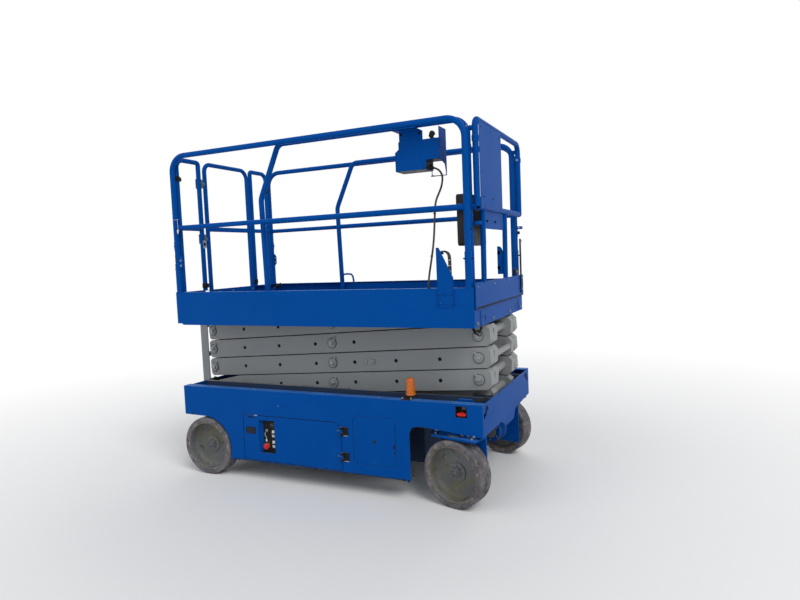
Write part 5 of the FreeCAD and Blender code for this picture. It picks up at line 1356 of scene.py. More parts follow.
def deck_details():
    # Dark ovals on the flanges: painted shade of the slots.
    slot = Piece("flange_slot_shade", "rubber", "platform")
    for side in (-1, 1):
        slot.slab(oval(1.026, side * 0.553 - 0.0085, 1.08, side * 0.553 + 0.0085), "z", TOE_TOP, 0.0006)
    slot.done()
    seams = Piece("deck_front_folds", "paint_blue", "platform")
    for y in (-0.455, 0.455):
        seams.slab(rounded(y - 0.006, DECK_LOW + 0.003, y + 0.006, FLOOR_TOP - 0.014, 0.004), "x", 1.137, 0.0032)
    seams.done(bevel=0.0008)
    # Dark discs and ovals on the deck front: painted shade of its holes.
    holes = Piece("deck_front_hole_shade", "rubber", "platform")
    for y, z in ((-0.436, 1.118), (0.436, 1.118)):
        holes.lathe((1.137, y, z), X, [(0.007, 0), (0.007, 0.0007), (0, 0.0007)], 22)
    for y in (-0.372, 0.372):
        holes.slab(oval(y - 0.004, 1.088, y + 0.004, 1.128), "x", 1.137, 0.0007)
    holes.done()
    bolts = Piece("deck_bolts", "steel", "platform")
    for y in (-0.53, -0.2, 0.2, 0.53):
        bolts.hex_nut((1.137, y, 1.088), X, 0.013, 0.007)
    for side in (-1, 1):
        for x in (-1.02, -0.70, -0.38):
            bolts.screw_head((x, side * 0.5455, TOE_TOP), Z, 0.0048, 0.0024)
    bolts.done()
    beads = Piece("deck_corner_welds", "paint_blue", "platform")
    for side in (-1, 1):
        for x, z0 in ((1.1345, 1.07), (-1.0765, 1.104)):
            points = [(x, side * (0.5718 + 0.0003 * math.sin(k * 2.1)), z0 + 0.0045 * k) for k in range(21)]
            beads.sweep(points, 0.0022, 8)
    beads.done(smooth=60)
    # Dark strips under the extension deck's sides: slide strips, and painted shade in the gap between the decks.
    gap = Piece("extension_slide_strips_and_gap_shade", "rubber", "extension")
    for side in (-1, 1):
        gap.box((-0.32, side * 0.47 - 0.012, 1.1775), (1.13, side * 0.47 + 0.012, 1.1818))
    gap.done(bevel=0.0004)
    # Dark strip under the front toe plate: painted shadow in the gap.
    gap = Piece("extension_front_gap_shade", "rubber", "extension")
    gap.slab([(-0.56, 1.1743), (0.56, 1.1743), (0.56, 1.1795), (-0.56, 1.1835)], "x", 1.149, 0.0009)
    gap.done()
    front = Piece("extension_front_details", "steel", "extension")
    for y in (-0.53, -0.18, 0.18, 0.53):
        front.screw_head((1.149, y, 1.30), X, 0.006, 0.0026)
    front.done()


deck_details()


# Non-slip floor of the two decks, as thin raised sheets

def floor_sheet(name, body, x0, x1, half, z, step=0.055):
    """Sheet with raised lozenges in two leanings."""
    sheet = Piece(name, "floor", body)
    sheet.box((x0, -half, z), (x1, half, z + 0.0012))
    rows = int((x1 - x0) / step)
    across = int(2 * half / step)
    for i in range(rows):
        for j in range(across):
            x = x0 + step * (i + 0.5)
            y = -half + (2 * half) / across * (j + 0.5)
            lean = math.radians(45 if (i + j) % 2 else -45)
            ahead, aside = Vector((math.cos(lean), math.sin(lean), 0)), Vector((-math.sin(lean), math.cos(lean), 0))
            low = [Vector((x, y, z + 0.0012)) + ahead * a + aside * b for a, b in ((0.015, 0), (0, 0.0042), (-0.015, 0), (0, -0.0042))]
            high = [Vector((x, y, z + 0.0024)) + ahead * a + aside * b for a, b in ((0.011, 0), (0, 0.0024), (-0.011, 0), (0, -0.0024))]
            first = [sheet.bm.verts.new(p) for p in low]
            last = [sheet.bm.verts.new(p) for p in high]
            sheet.bm.faces.new(last)
            for k in range(4):
                m = (k + 1) % 4
                sheet.bm.faces.new((first[k], first[m], last[m], last[k]))
    sheet.done()


floor_sheet("grip_sheet_main", "platform", -1.07, -0.355, 0.566, FLOOR_TOP)
floor_sheet("grip_sheet_extension", "extension", -0.335, 1.136, 0.455, 1.186)


# Rails: joint sleeves, pins with lanyards, weld beads

def ring_weld(piece, at, direction, radius, bead=0.0028, steps=40):
    """A bead round a tube where it meets another."""
    direction = Vector(direction).normalized()
    first = direction.orthogonal().normalized()
    points = []
    for i in range(steps):
        spoke = Matrix.Rotation(2 * math.pi * i / steps, 3, direction) @ first
        points.append(Vector(at) + spoke * (radius + 0.0005 * math.sin(i * 2.3)))
    piece.sweep(points, bead, 8, closed=True)


def spring_pin(piece, at, out, reach=0.012, ring=True):
    """Round pin through a sleeve with its pull ring."""
    at, out = Vector(at), Vector(out).normalized()
    piece.lathe(at - out * 0.002, out, [(0.0062, 0), (0.0062, 0.003), (0.0045, 0.004), (0.0045, reach),
                                        (0.0036, reach + 0.0012), (0, reach + 0.0014)], 18)
    if ring:
        across = out.orthogonal().normalized()
        centre = at + out * (reach - 0.002) - Z * 0.0135
        points = []
        for i in range(28):
            angle = 2 * math.pi * i / 28
            points.append(centre + Z * 0.0135 * math.cos(angle) + out * 0.0035 * math.sin(angle)
                          + across * 0.0128 * math.sin(angle) * 0.8)
        piece.sweep(points, 0.0011, 8, closed=True)


def post_details():
    """Sleeves over the rail joints: set pins, dark slots painted as shade, bracket with two bolts at each rear post."""
    pins = Piece("rail_joint_pins", "steel", "platform")
    dark = Piece("rail_joint_pins_and_slot_shade", "rubber", "platform")
    plates = Piece("rail_joint_brackets", "paint_blue", "platform")
    beads = Piece("rail_welds", "paint_blue", "platform")
    for side in (-1, 1):
        y = side * RAIL_Y
        out = Y * side
        for x, inward in ((REAR_POST, X), (FRONT_POST, -X)):
            for z in (TOE_TOP + 0.165, MID_RAIL - 0.127):
                radius = 0.021 if z < 1.55 else 0.020
                dark.rod((x - 0.030, y, z), (x + 0.030, y, z), 0.0045, 12, 0.001)
                spring_pin(pins, Vector((x, y, z)) - out * (radius - 0.001), -out, 0.013, z > 1.55)
            ring_weld(beads, (x, y, TOE_TOP + 0.002), Z, 0.0218, 0.003)
            ring_weld(beads, (x, y, TOE_TOP + 0.2025), Z, 0.0192, 0.0016)
            ring_weld(beads, Vector((x, y, MID_RAIL)) + inward * 0.0178, X, 0.0168)
        # Thin dark plates on the rear posts: painted shade of the slots.
        slot_x, slot_z = REAR_POST, 1.5345
        for k in range(3):
            lean = Matrix.Rotation(math.radians(-12 + 12 * k), 3, "Z")
            spoke = lean @ (-X * 0.35 + out * 0.94).normalized()
            place = Vector((slot_x, y, slot_z)) + spoke * 0.0176
            across = Z.cross(spoke).normalized()
            low = [place + across * a + Z * b for a, b in ((-0.0026, -0.025), (0.0026, -0.025), (0.0026, 0.025), (-0.0026, 0.025))]
            first = [dark.bm.verts.new(p) for p in low]
            last = [dark.bm.verts.new(p + spoke * 0.0009) for p in low]
            dark.bm.faces.new(first)
            dark.bm.faces.new(last[::-1])
            for i in range(4):
                j = (i + 1) % 4
                dark.bm.faces.new((first[i], last[i], last[j], first[j]))
        plates.slab([(REAR_POST + 0.014, 1.452), (REAR_POST + 0.034, 1.468), (REAR_POST + 0.04, 1.478),
                     (REAR_POST + 0.04, 1.535), (REAR_POST + 0.03, 1.55), (REAR_POST + 0.014, 1.56)], "y",
                    y - 0.006, 0.012)
        for z in (1.486, 1.522):
            pins.hex_nut((REAR_POST + 0.0325, y - 0.006, z), -Y, 0.0105, 0.005)
            pins.screw_head((REAR_POST + 0.0325, y + 0.006, z), Y, 0.0055, 0.0026)
        for x in (-0.02, 0.62):
            ring_weld(beads, (x, y, RAIL_TOP), X, 0.0176, 0.0009)
    pins.done()
    dark.done()
    plates.done(bevel=0.0012)
    beads.done(smooth=60)


post_details()


def half_hoop_details():
    """Wire-bail latch and pins on the posts beside the gate, and the clamp on the outer post."""
    bail = Piece("rear_wire_bail", "steel", "platform")
    x, y = REAR_POST, -0.298
    plate_x = x + 0.017
    bail.slab(rounded(y - 0.012, 1.612, y + 0.012, 1.668, 0.004), "x", plate_x - 0.001, 0.003)
    bail.sweep([(plate_x + 0.002, y - 0.012, 1.66), (plate_x + 0.012, y - 0.015, 1.664), (plate_x + 0.026, y - 0.016, 1.66),
                (plate_x + 0.031, y - 0.016, 1.65), (plate_x + 0.031, y - 0.016, 1.622), (plate_x + 0.027, y - 0.016, 1.612),
                (plate_x + 0.014, y - 0.015, 1.609), (plate_x + 0.002, y - 0.012, 1.614)], 0.0022, 10)
    bail.done(bevel=0.0004)
    block = Piece("rear_bail_block", "black_metal", "platform")
    block.slab(rounded(y - 0.009, 1.628, y + 0.009, 1.652, 0.003), "x", plate_x + 0.0015, 0.016)
    block.done(bevel=0.001)
    clamp = Piece("rear_post_clamps", "black_metal", "platform")
    rims = Piece("rear_clamp_fingers", "steel", "platform")
    for post_y, z, way in ((-0.515, 2.103, 1), (0.515, 2.103, -1), (-0.298, 1.33, 1), (0.304, 1.33, -1)):
        clamp.ring((x, post_y, z - 0.019), Z, 0.0168, 0.0208, 0.038, 36, 0.002)
        clamp.slab(rounded(x - 0.009, z - 0.015, x + 0.009, z + 0.015, 0.004), "y", post_y + way * 0.019, way * 0.014)
        rims.hex_nut((x, post_y + way * 0.033, z), Y * way, 0.011, 0.006)
    clamp.done(bevel=0.0006)
    rims.done()
    hinge = Piece("gate_hinge_collars", "wheel_grey", "platform")
    for z in (1.680, 2.090):
        for foot in (z - 0.0315, z + 0.0145):
            hinge.ring((x, -0.268, foot), Z, 0.0088, 0.0112, 0.017, 32, 0.0012)
        hinge.screw_head((x, -0.268, z + 0.031), Z, 0.0072, 0.004)
        hinge.slab(rounded(-0.312, z - 0.036, -0.284, z + 0.036, 0.005), "x", x - 0.0205, 0.004)
    hinge.done(bevel=0.0005)
    screws = Piece("gate_hinge_screws", "steel", "platform")
    for z in (1.680, 2.090):
        for dz in (-0.022, 0.022):
            screws.hex_nut((x - 0.0205, -0.298, z + dz), -X, 0.0105, 0.005)
    screws.done()
    stripes = Piece("gate_hinge_knuckles", "wheel_grey", "gate")
    for z in (1.680, 2.090):
        stripes.ring((x, -0.268, z - 0.0125), Z, 0.0089, 0.0106, 0.025, 32, 0.0012)
        stripes.slab(rounded(-0.258, z - 0.0115, -0.232, z + 0.0115, 0.003), "x", x + 0.006, 0.0025)
    stripes.done(bevel=0.0004)
    latch = Piece("gate_latch", "black_metal", "gate")
    latch.slab([(0.214, 1.742), (0.262, 1.738), (0.268, 1.748), (0.266, 1.77), (0.22, 1.774)], "x", x - 0.0165, 0.009)
    latch.lathe((x - 0.0165, 0.226, 1.757), -X, [(0.008, 0), (0.008, 0.003), (0.0065, 0.004), (0, 0.0042)], 24)
    latch.done(bevel=0.0008)
    catch = Piece("gate_catch_plate", "pale", "platform")
    catch.slab(rounded(0.2835, 1.729, 0.2955, 1.782, 0.004), "x", x - 0.0195, 0.0028)
    catch.done(bevel=0.0005)
    toe = Piece("gate_toe_screws", "steel", "gate")
    for y in (-0.225, 0.0, 0.245):
        toe.screw_head((x + 0.012, y, 1.275), X, 0.0058, 0.0028)
        toe.screw_head((x + 0.008, y, 1.275), -X, 0.0045, 0.002)
    toe.done()


half_hoop_details()


def lanyard():
    """Thin pale cord with its tag, tied round the near rear post under the mid rail."""
    x, y = REAR_POST, -RAIL_Y
    cord = Piece("pin_lanyard", "pale", "platform")
    loop = []
    for i in range(26):
        angle = 2 * math.pi * i / 26
        loop.append((x + 0.0192 * math.cos(angle), y + 0.0192 * math.sin(angle), 1.815 + 0.004 * math.sin(angle)))
    cord.sweep(loop, 0.0012, 6, closed=True)
    cord.sweep([(x + 0.019, y - 0.002, 1.814), (x + 0.0235, y - 0.006, 1.803), (x + 0.0285, y - 0.010, 1.790),
                (x + 0.034, y - 0.0155, 1.777), (x + 0.038, y - 0.0195, 1.766), (x + 0.0385, y - 0.02, 1.752),
                (x + 0.0375, y - 0.0195, 1.737)], 0.0012, 6)
    cord.done(smooth=60)
    tag = Piece("pin_tag", "pale", "platform")
    tag.slab([(x + 0.0285, 1.737), (x + 0.037, 1.746), (x + 0.0455, 1.736), (x + 0.0425, 1.72), (x + 0.035, 1.7085),
              (x + 0.029, 1.722)], "y", y - 0.0208, 0.0016)
    tag.done(bevel=0.0003)


lanyard()


def extension_details():
    """Foot lever near the raked post, handle on the far toe plate, clamps and pins of the front hoop."""
    lever = Piece("foot_lever", "paint_blue", "extension")
    y = -INNER_Y + 0.027
    lever.sweep([(-0.318, y, 1.196), (-0.322, y, 1.235), (-0.318, y + 0.002, 1.275), (-0.306, y + 0.006, 1.305),
                 (-0.285, y + 0.012, 1.322), (-0.262, y + 0.018, 1.331)], 0.0085, 14)
    lever.lathe((-0.322, y - 0.006, 1.196), Y, [(0.013, 0), (0.014, 0.001), (0.014, 0.013), (0.013, 0.014)], 26)
    lever.done(smooth=50)
    pad = Piece("foot_lever_pad", "rubber", "extension")
    pad.sweep([(-0.292, y + 0.0105, 1.3185), (-0.272, y + 0.015, 1.328), (-0.253, y + 0.02, 1.3345)], 0.0118, 16)
    pad.done(bevel=0.001)
    handle = Piece("toe_plate_handle", "paint_blue", "extension")
    x, y = -0.272, INNER_Y - 0.004
    handle.sweep([(x - 0.055, y + 0.004, 1.262), (x - 0.055, y - 0.006, 1.30), (x - 0.05, y - 0.01, 1.345),
                  (x - 0.038, y - 0.012, 1.362), (x + 0.0, y - 0.012, 1.366), (x + 0.038, y - 0.012, 1.362),
                  (x + 0.05, y - 0.01, 1.345), (x + 0.055, y - 0.006, 1.30), (x + 0.055, y + 0.004, 1.262)], 0.0075, 14)
    handle.done(smooth=60)
    clamps = Piece("front_clamps", "paint_blue", "extension")
    bolts = Piece("front_clamp_bolts", "steel", "extension")
    for side in (-1, 1):
        y = side * INNER_Y
        for z, tall in ((2.135, 0.034), (1.66, 0.02)):
            clamps.ring((NOSE, y, z - tall / 2), Z, 0.0178, 0.0216, tall, 36, 0.0018)
            bolts.hex_nut((NOSE, y - side * 0.021, z), -Y * side, 0.011, 0.006)
            clamps.slab(rounded(NOSE - 0.009, z - tall / 2 + 0.002, NOSE + 0.009, z + tall / 2 - 0.002, 0.003), "y",
                        y + side * 0.0185, side * 0.0065)
        bolts.lathe((FRONT_POST, y + side * 0.0165, 2.203), Y * side, [(0.006, 0), (0.006, 0.002), (0.0045, 0.0034), (0, 0.0036)], 20)
    clamps.done(bevel=0.0006)
    bolts.done()
    knob = Piece("near_lock_knob", "black_plastic", "extension")
    knob.lathe((1.062, -INNER_Y, 2.2345), -Z, [(0.006, 0), (0.006, 0.004), (0.0125, 0.0055), (0.0135, 0.01),
                                              (0.0125, 0.0155), (0.008, 0.018), (0, 0.0182)], 24)
    knob.done()
    clip = Piece("near_post_clip", "paint_blue", "extension")
    clip.ring((FRONT_POST, -INNER_Y, 2.075), Z, 0.0178, 0.0206, 0.03, 36, 0.001)
    clip.slab(rounded(FRONT_POST - 0.032, 2.08, FRONT_POST - 0.019, 2.1, 0.003), "y", -INNER_Y - 0.006, 0.012)
    clip.done(bevel=0.0006)
    beads = Piece("extension_rail_welds", "paint_blue", "extension")
    for side in (-1, 1):
        y = side * INNER_Y
        for z in (2.194, MID_RAIL):
            ring_weld(beads, (FRONT_POST + 0.0172, y, z), X, 0.0145, 0.0022)
            ring_weld(beads, (NOSE - 0.0172, y, z), X, 0.0145, 0.0022)
        ring_weld(beads, (FRONT_POST - 0.0178, y, MID_RAIL), X, 0.0168, 0.0024)
        ring_weld(beads, (NOSE, y - side * 0.0178, MID_RAIL), Y, 0.0183, 0.0024)
        for x in (-0.329, FRONT_POST):
            ring_weld(beads, (x, y, 1.1885), Z, 0.0192, 0.003)
    beads.done(smooth=60)


extension_details()


def board_details():
    """Screws of the two sheets, bracket behind the far stub post, dark bar as painted shade beside the far front post,
    and its clip.
    """
    screws = Piece("board_screws", "black_metal", "extension")
    for y in (-0.436, -0.247):
        screws.screw_head((1.1713, y, 1.812), X, 0.0062, 0.0028)
    for y in (-0.322, -0.146):
        screws.hex_nut((1.1515, y, 1.678), X, 0.012, 0.0055)
    for y in (-0.45, -0.26, -0.075):
        screws.screw_head((1.1713, y, 2.205), X, 0.0050, 0.0022)
    for y in (-0.42, -0.1):
        screws.screw_head((1.1713, y, 1.755), X, 0.0050, 0.0022)
    screws.done()
    bracket = Piece("stub_post_bracket", "paint_blue", "extension")
    bracket.slab([(1.0955, 1.346), (1.134, 1.346), (1.134, 1.49), (1.128, 1.512), (1.118, 1.526), (1.104, 1.53),
                  (1.0955, 1.53)], "y", 0.085, 0.005)
    bracket.done(bevel=0.001)
    # Pale marks in the slots: painted light seen through them.
    slots = Piece("bracket_slot_light", "pale", "extension")
    for z in (1.488, 1.388):
        slots.slab(oval(1.1005, z - 0.012, 1.1075, z + 0.012), "y", 0.085, -0.0008)
    slots.done()
    # A dark bar with bolts, standing in for the shade beside the far front post.
    bar = Piece("far_post_shade_bar", "rubber", "extension")
    bar.slab(rounded(0.4805, 1.194, 0.5045, 1.582, 0.006), "x", 1.149, 0.0085)
    bar.done(bevel=0.0016)
    bolt = Piece("far_bar_bolts", "steel", "extension")
    for z in (1.225, 1.30, 1.566):
        bolt.hex_nut((1.1575, 0.4925, z), X, 0.011, 0.005)
    bolt.done()
    pin = Piece("far_sleeve_knob", "black_plastic", "platform")
    out = Vector((0.7, 0.72, 0)).normalized()
    pin.lathe(Vector((FRONT_POST, RAIL_Y, 1.627)) + out * 0.0195, out,
              [(0.007, 0), (0.007, 0.005), (0.0115, 0.0065), (0.0125, 0.0095), (0.0115, 0.0145), (0, 0.0155)], 26)
    pin.done()
    ring = Piece("front_ring_pin", "steel", "extension")
    spring_pin(ring, (1.134, INNER_Y - 0.075, 1.352), X, 0.016)
    ring.done()
    block = Piece("front_ring_block", "black_metal", "extension")
    block.slab(rounded(INNER_Y - 0.09, 1.3225, INNER_Y - 0.06, 1.37, 0.005), "x", 1.121, 0.014)
    block.done(bevel=0.001)


board_details()


def manual_box():
    """Moulded box with a lid, hinge bead, ribs and a latch, in place of the plain one."""
    low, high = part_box("document_box")
    shell = Piece("document_box_moulded", "black_plastic", "extension")
    lid_z = high.z - 0.082
    for z0, z1, grow in ((low.z, lid_z - 0.003, 0.0022), (lid_z + 0.001, high.z, 0.0)):
        corner = 0.022
        if z0 == low.z:
            outline = arc((high.y - grow - corner, z0 + corner), corner, -90, 0, 6)
            outline += [(high.y - grow, z1), (low.y + grow, z1)]
            outline += arc((low.y + grow + corner, z0 + corner), corner, 180, 270, 6)
        else:
            outline = [(low.y, z0), (high.y, z0)]
            outline += arc((high.y - corner, z1 - corner), corner, 0, 90, 6)
            outline += arc((low.y + corner, z1 - corner), corner, 90, 180, 6)
        shell.slab(outline, "x", low.x + grow, high.x - low.x - 2 * grow)
    shell.done(bevel=0.004, segments=3, replaces=["document_box"])
    bits = Piece("document_box_details", "rubber", "extension")
    y0, y1 = low.y + 0.03, high.y - 0.03
    bits.rod((low.x + 0.0025, y0, lid_z - 0.0005), (low.x + 0.0025, y1, lid_z - 0.0005), 0.0042, 14)
    middle = (low.y + high.y) / 2
    for y in (middle - 0.09, middle + 0.09):
        bits.slab(rounded(y - 0.017, lid_z - 0.03, y + 0.017, lid_z + 0.022, 0.004), "x", high.x - 0.0024, 0.0042)
    for k in range(5):
        y = low.y + 0.06 + k * 0.0625
        bits.slab(rounded(y - 0.003, low.z + 0.03, y + 0.003, lid_z - 0.02, 0.0026), "x", low.x + 0.0008, 0.0028)
    bits.done(bevel=0.0008)
    screws = Piece("document_box_screws", "steel", "extension")
    for y in (low.y + 0.03, high.y - 0.03):
        for z in (high.z - 0.02, high.z - 0.06):
            screws.screw_head((low.x, y, z), -X, 0.0055, 0.0025)
    screws.done()


manual_box()


# Operator's control box in its folded holder

BOX_BACK, BOX_FACE = -0.340, -0.460


def sheet_between(piece, outline, y0, y1):
    piece.slab(outline, "y", y0, y1 - y0)


def control_holder():
    """Holder with the cut corner, end plate, hanger hooked over the rail and wire foot."""
    shell = Piece("control_holder", "paint_blue", "platform")
    sheet_between(shell, [(0.632, 1.9985), (0.632, 2.111), (0.656, 2.130), (0.656, 2.1735), (0.915, 2.1735),
                          (0.915, 2.054), (0.832, 2.054), (0.828, 1.9985)], BOX_FACE, BOX_BACK)
    shell.slab([(-0.460, 2.054), (-0.460, 2.240), (-0.340, 2.240), (-0.340, 1.967), (-0.3475, 1.9655), (-0.372, 2.030)],
               "x", 0.915, 0.003)
    shell.box((0.662, -0.460, 2.172), (0.814, -0.454, 2.226))
    shell.box((0.662, -0.559, 2.2202), (0.814, -0.454, 2.226))
    shell.box((0.662, -0.559, 2.2202), (0.814, -0.553, 2.2335))
    shell.done(bevel=0.0016, replaces=["control_box"])
    seam = Piece("control_holder_folds", "paint_blue", "platform")
    seam.slab([(0.6325, 2.0), (0.6395, 2.0), (0.6395, 2.107), (0.6625, 2.126), (0.6625, 2.171), (0.6565, 2.171),
               (0.6565, 2.1295), (0.6325, 2.1105)], "y", BOX_FACE, -0.0012)
    seam.slab([(0.664, 2.1765), (0.812, 2.1765), (0.812, 2.1705), (0.664, 2.1705)], "y", BOX_FACE, -0.0012)
    seam.done(bevel=0.0005)
    under = Piece("control_box_underside", "wheel_grey", "platform")
    under.slab(rounded(0.635, -0.4575, 0.8255, -0.3425, 0.003), "z", 1.9972, 0.0016)
    for x in (0.65, 0.80):
        for y in (-0.445, -0.355):
            under.screw_head((x, y, 1.9972), -Z, 0.0042, 0.0018)
    under.done(bevel=0.0003)
    cut = Piece("control_box_back_cover", "black_plastic", "platform")
    cut.slab([(-0.4565, 2.0), (-0.3435, 2.0), (-0.3435, 2.051), (-0.4565, 2.051)], "x", 0.8295, 0.0034)
    cut.lathe((0.8325, -0.43, 2.005), X, [(0.0135, 0), (0.0135, 0.0035), (0.0128, 0.0045), (0.0128, 0.0098), (0, 0.0098)], 8)
    cut.lathe((0.832, -0.385, 2.024), X, [(0.010, 0), (0.010, 0.004), (0.0085, 0.0055), (0.0085, 0.011), (0, 0.011)], 24)
    cut.slab(rounded(0.838, -0.452, 0.908, -0.348, 0.004), "z", 2.0525, 0.0018)
    cut.done(bevel=0.0006)
    wire = Piece("control_foot_wire", "rubber", "platform")
    wire.sweep([(0.9165, -0.343, 1.9685), (0.90, -0.343, 1.9682), (0.86, -0.343, 1.968), (0.832, -0.343, 1.968),
                (0.824, -0.343, 1.971), (0.822, -0.343, 1.98), (0.822, -0.343, 1.9985)], 0.0027, 12)
    wire.box((0.816, -0.3478, 1.9655), (0.839, -0.3402, 1.9722))
    wire.done(bevel=0.0004)
    screws = Piece("control_screws", "black_metal", "platform")
    for x, z in ((0.6745, 2.2165), (0.7975, 2.2155)):
        screws.hex_nut((x, BOX_FACE, z - 0.004), -Y, 0.0105, 0.0045)
    for x, z in ((0.788, 2.072), (0.816, 2.0065), (0.89, 2.158), (0.89, 2.07)):
        screws.screw_head((x, BOX_FACE, z), -Y, 0.0042, 0.0018)
    for y, z in ((-0.445, 2.155), (-0.355, 2.155), (-0.355, 2.03)):
        screws.screw_head((0.918, y, z), X, 0.005, 0.0022)
    screws.done()
    # Dark mark on the holder face: painted shade of a slot.
    marks = Piece("control_holder_slot_shade", "rubber", "platform")
    marks.slab(rounded(0.719, 2.0135, 0.7224, 2.0375, 0.0016), "y", BOX_FACE, -0.0006)
    marks.done()



def control_top():
    """Top plate of the control unit: joystick with its boot and trigger, stop button and two rockers."""
    top = 2.1735
    plate = Piece("control_unit_plate", "black_metal", "platform")
    plate.slab(rounded(0.664, -0.452, 0.908, -0.346, 0.008), "z", top, 0.0015)
    plate.done(bevel=0.0004)
    boot = Piece("joystick_boot", "rubber", "platform")
    boot.lathe((0.855, -0.400, top + 0.0012), Z, [(0.0235, 0), (0.0235, 0.0015), (0.0205, 0.003), (0.0185, 0.0045),
                                                 (0.0195, 0.0062), (0.0158, 0.0078), (0.0165, 0.0095),
                                                 (0.0125, 0.011), (0.013, 0.0128), (0.0095, 0.0145), (0, 0.0148)], 40)
    boot.done()
    grip = Piece("joystick_grip", "black_plastic", "platform")
    outline = [(0.8345, 2.1865), (0.8505, 2.1865), (0.8555, 2.198), (0.8665, 2.2085), (0.8615, 2.2235), (0.8525, 2.229),
               (0.8415, 2.2285), (0.8335, 2.218), (0.8275, 2.199)]
    grip.slab([(x + 0.005, z) for x, z in outline], "y", -0.4125, 0.025)
    grip.done(bevel=0.005, segments=4, smooth=60)
    stop = Piece("control_stop_button", "red", "platform")
    stop.lathe((0.705, -0.385, top + 0.0115), Z, [(0.0125, 0), (0.0185, 0.0015), (0.0195, 0.004), (0.0185, 0.0075),
                                                  (0.0145, 0.0098), (0.007, 0.011), (0, 0.0112)], 36)
    stop.done()
    ring = Piece("control_stop_collar", "brass", "platform")
    ring.lathe((0.705, -0.385, top + 0.0014), Z, [(0.018, 0), (0.018, 0.0025), (0.016, 0.0035), (0.0115, 0.0038),
                                                 (0.0115, 0.0105), (0, 0.0105)], 32)
    ring.done()
    rockers = Piece("control_rockers", "black_plastic", "platform")
    for y in (-0.43, -0.372):
        rockers.slab(rounded(0.762, y, 0.79, y + 0.022, 0.003), "z", top + 0.0012, 0.0058)
        rockers.slab([(0.765, top + 0.006), (0.787, top + 0.006), (0.787, top + 0.0105), (0.765, top + 0.0075)], "y",
                     y + 0.003, 0.016)
    rockers.done(bevel=0.0008)


control_holder()
control_top()


def bracket_details():
    """Bolts of the cable bracket and its folded edge."""
    bolts = Piece("bracket_bolts", "paint_blue", "platform")
    for x in (0.9365, 0.969, 1.0015):
        for z in (1.264, 1.206):
            bolts.hex_nut((x, -0.578, z), -Y, 0.009, 0.005)
    bolts.lathe((0.946, -0.541, 1.496), Y, [(0.006, 0), (0.006, 0.0015), (0.0045, 0.0022), (0, 0.0024)], 20)
    bolts.done()
    fold = Piece("bracket_fold", "paint_blue", "platform")
    fold.slab([(1.0152, 1.19), (1.0182, 1.19), (1.0182, 1.355), (1.0152, 1.357)], "y", -0.5782, -0.0035)
    fold.slab([(0.919, 1.19), (0.9218, 1.19), (0.9218, 1.526), (0.919, 1.5295)], "y", -0.5782, -0.0035)
    fold.done(bevel=0.0008)


bracket_details()


# Lift cylinder

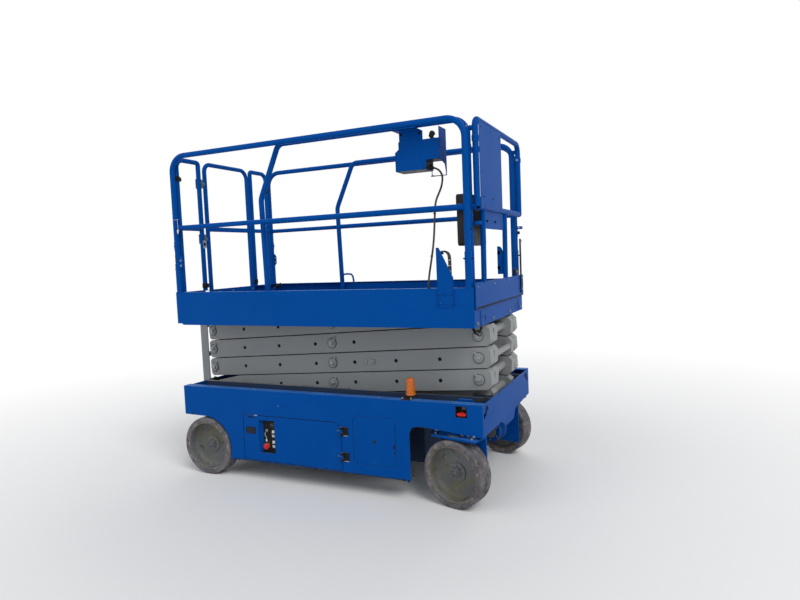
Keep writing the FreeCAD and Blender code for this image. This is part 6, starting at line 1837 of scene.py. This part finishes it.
def cylinder_details():
    tail = Vector((1.077 - 1.94 * math.cos(rest_tilt), 0, PIN_LEVEL + 1.94 * math.sin(rest_tilt)))
    head = Vector((1.077 - 0.19 * math.cos(rest_tilt), 0, PIN_LEVEL + 2 * PITCH + 0.19 * math.sin(rest_tilt)))
    run = (head - tail)
    ahead = run.normalized()
    up = Vector((-ahead.z, 0, ahead.x))
    length = run.length - 0.253
    rings = Piece("cylinder_bands", "axle_grey", "lift_barrel")
    rings.ring(tail + ahead * (length + 0.0395), ahead, 0.0285, 0.0535, 0.0022, 56, 0.001)
    for share in (0.35, 0.72):
        rings.ring(tail + ahead * length * share, ahead, 0.0478, 0.0502, 0.02, 56, 0.001)
    rings.ring(tail + ahead * (length - 0.001), ahead, 0.0478, 0.0562, 0.004, 56, 0.0015)
    rings.done()
    ports = Piece("cylinder_ports", "steel", "lift_barrel")
    for share in (0.13, 0.9):
        at = tail + ahead * length * share + Y * -0.046
        ports.hex_nut(at, -Y, 0.024, 0.012, washer=False)
        ports.hex_nut(at - Y * 0.011, -Y, 0.018, 0.012, washer=False)
    ports.done()
    hose = Piece("cylinder_hose", "rubber", "lift_barrel")
    first = tail + ahead * length * 0.13 - Y * 0.066
    last = tail + ahead * length * 0.9 - Y * 0.066
    points = [first, first - Y * 0.010 + ahead * 0.004, first - Y * 0.0155 + ahead * 0.016]
    for k in range(1, 14):
        share = k / 14
        points.append(first.lerp(last, share) - Y * (0.017 - 0.004 * math.sin(share * math.pi))
                      - up * 0.012 * math.sin(share * math.pi))
    points += [last - Y * 0.0155 - ahead * 0.016, last - Y * 0.010 - ahead * 0.004, last]
    hose.sweep(points, 0.0062, 12)
    hose.done(smooth=60)
    clips = Piece("cylinder_hose_clips", "steel", "lift_barrel")
    for share in (0.35, 0.72):
        at = tail + ahead * (length * share + 0.004) - Y * 0.047
        clips.box(at + Vector((0, -0.03, -0.012)), at + Vector((0.012, 0.003, -0.009)))
    clips.done(bevel=0.0006)


cylinder_details()


# Hoses, wires and small brackets of the arm stack

def stack_details():
    latch = Piece("stack_prop_latch", "arm_grey", "outer_2")
    face = -outer_face
    base = arm_point("outer", 2, 0.745, 0.0)
    latch.slab([(base.x - 0.042, base.z - 0.016), (base.x + 0.030, base.z - 0.020), (base.x + 0.042, base.z - 0.006),
                (base.x + 0.040, base.z + 0.012), (base.x + 0.006, base.z + 0.021), (base.x - 0.040, base.z + 0.014)],
               "y", face, -0.0045)
    latch.done(bevel=0.0012)
    knob = Piece("stack_prop_bolts", "steel", "outer_2")
    for dx in (-0.026, 0.024):
        knob.hex_nut((base.x + dx, face - 0.0045, base.z - 0.001), -Y, 0.012, 0.006)
    knob.done()
    hoses = Piece("stack_hoses", "rubber", "chassis")
    for k, (y, lift) in enumerate(((-0.30, 0.0), (-0.286, 0.006), (-0.272, -0.002))):
        hoses.sweep([(-1.046, y, 0.48), (-1.0455, y, 0.54), (-1.045, y + 0.002, 0.6 + lift), (-1.043, y + 0.004, 0.622 + lift),
                     (-1.034, y + 0.01, 0.626 + lift), (-1.03, y + 0.03, 0.612), (-1.03, y + 0.04, 0.56), (-1.03, y + 0.042, 0.482)],
                    0.0055, 10)
    hoses.done(smooth=60)
    wires = Piece("deck_front_wires", "rubber", "platform")
    for k, (y, drop, sway) in enumerate(((-0.43, 0.050, 0.0), (-0.415, 0.062, 0.012), (-0.40, 0.040, -0.01))):
        wires.sweep([(1.128, y, 1.078), (1.126, y, 1.066), (1.121, y + 0.002, 1.062 - drop * 0.5),
                     (1.108 + sway, y + 0.004, 1.064 - drop), (1.088 + sway, y + 0.004, 1.062 - drop * 0.95),
                     (1.074, y + 0.002, 1.066 - drop * 0.4), (1.07, y, 1.072), (1.07, y, 1.085)], 0.0036, 8)
    wires.done(smooth=60)


stack_details()
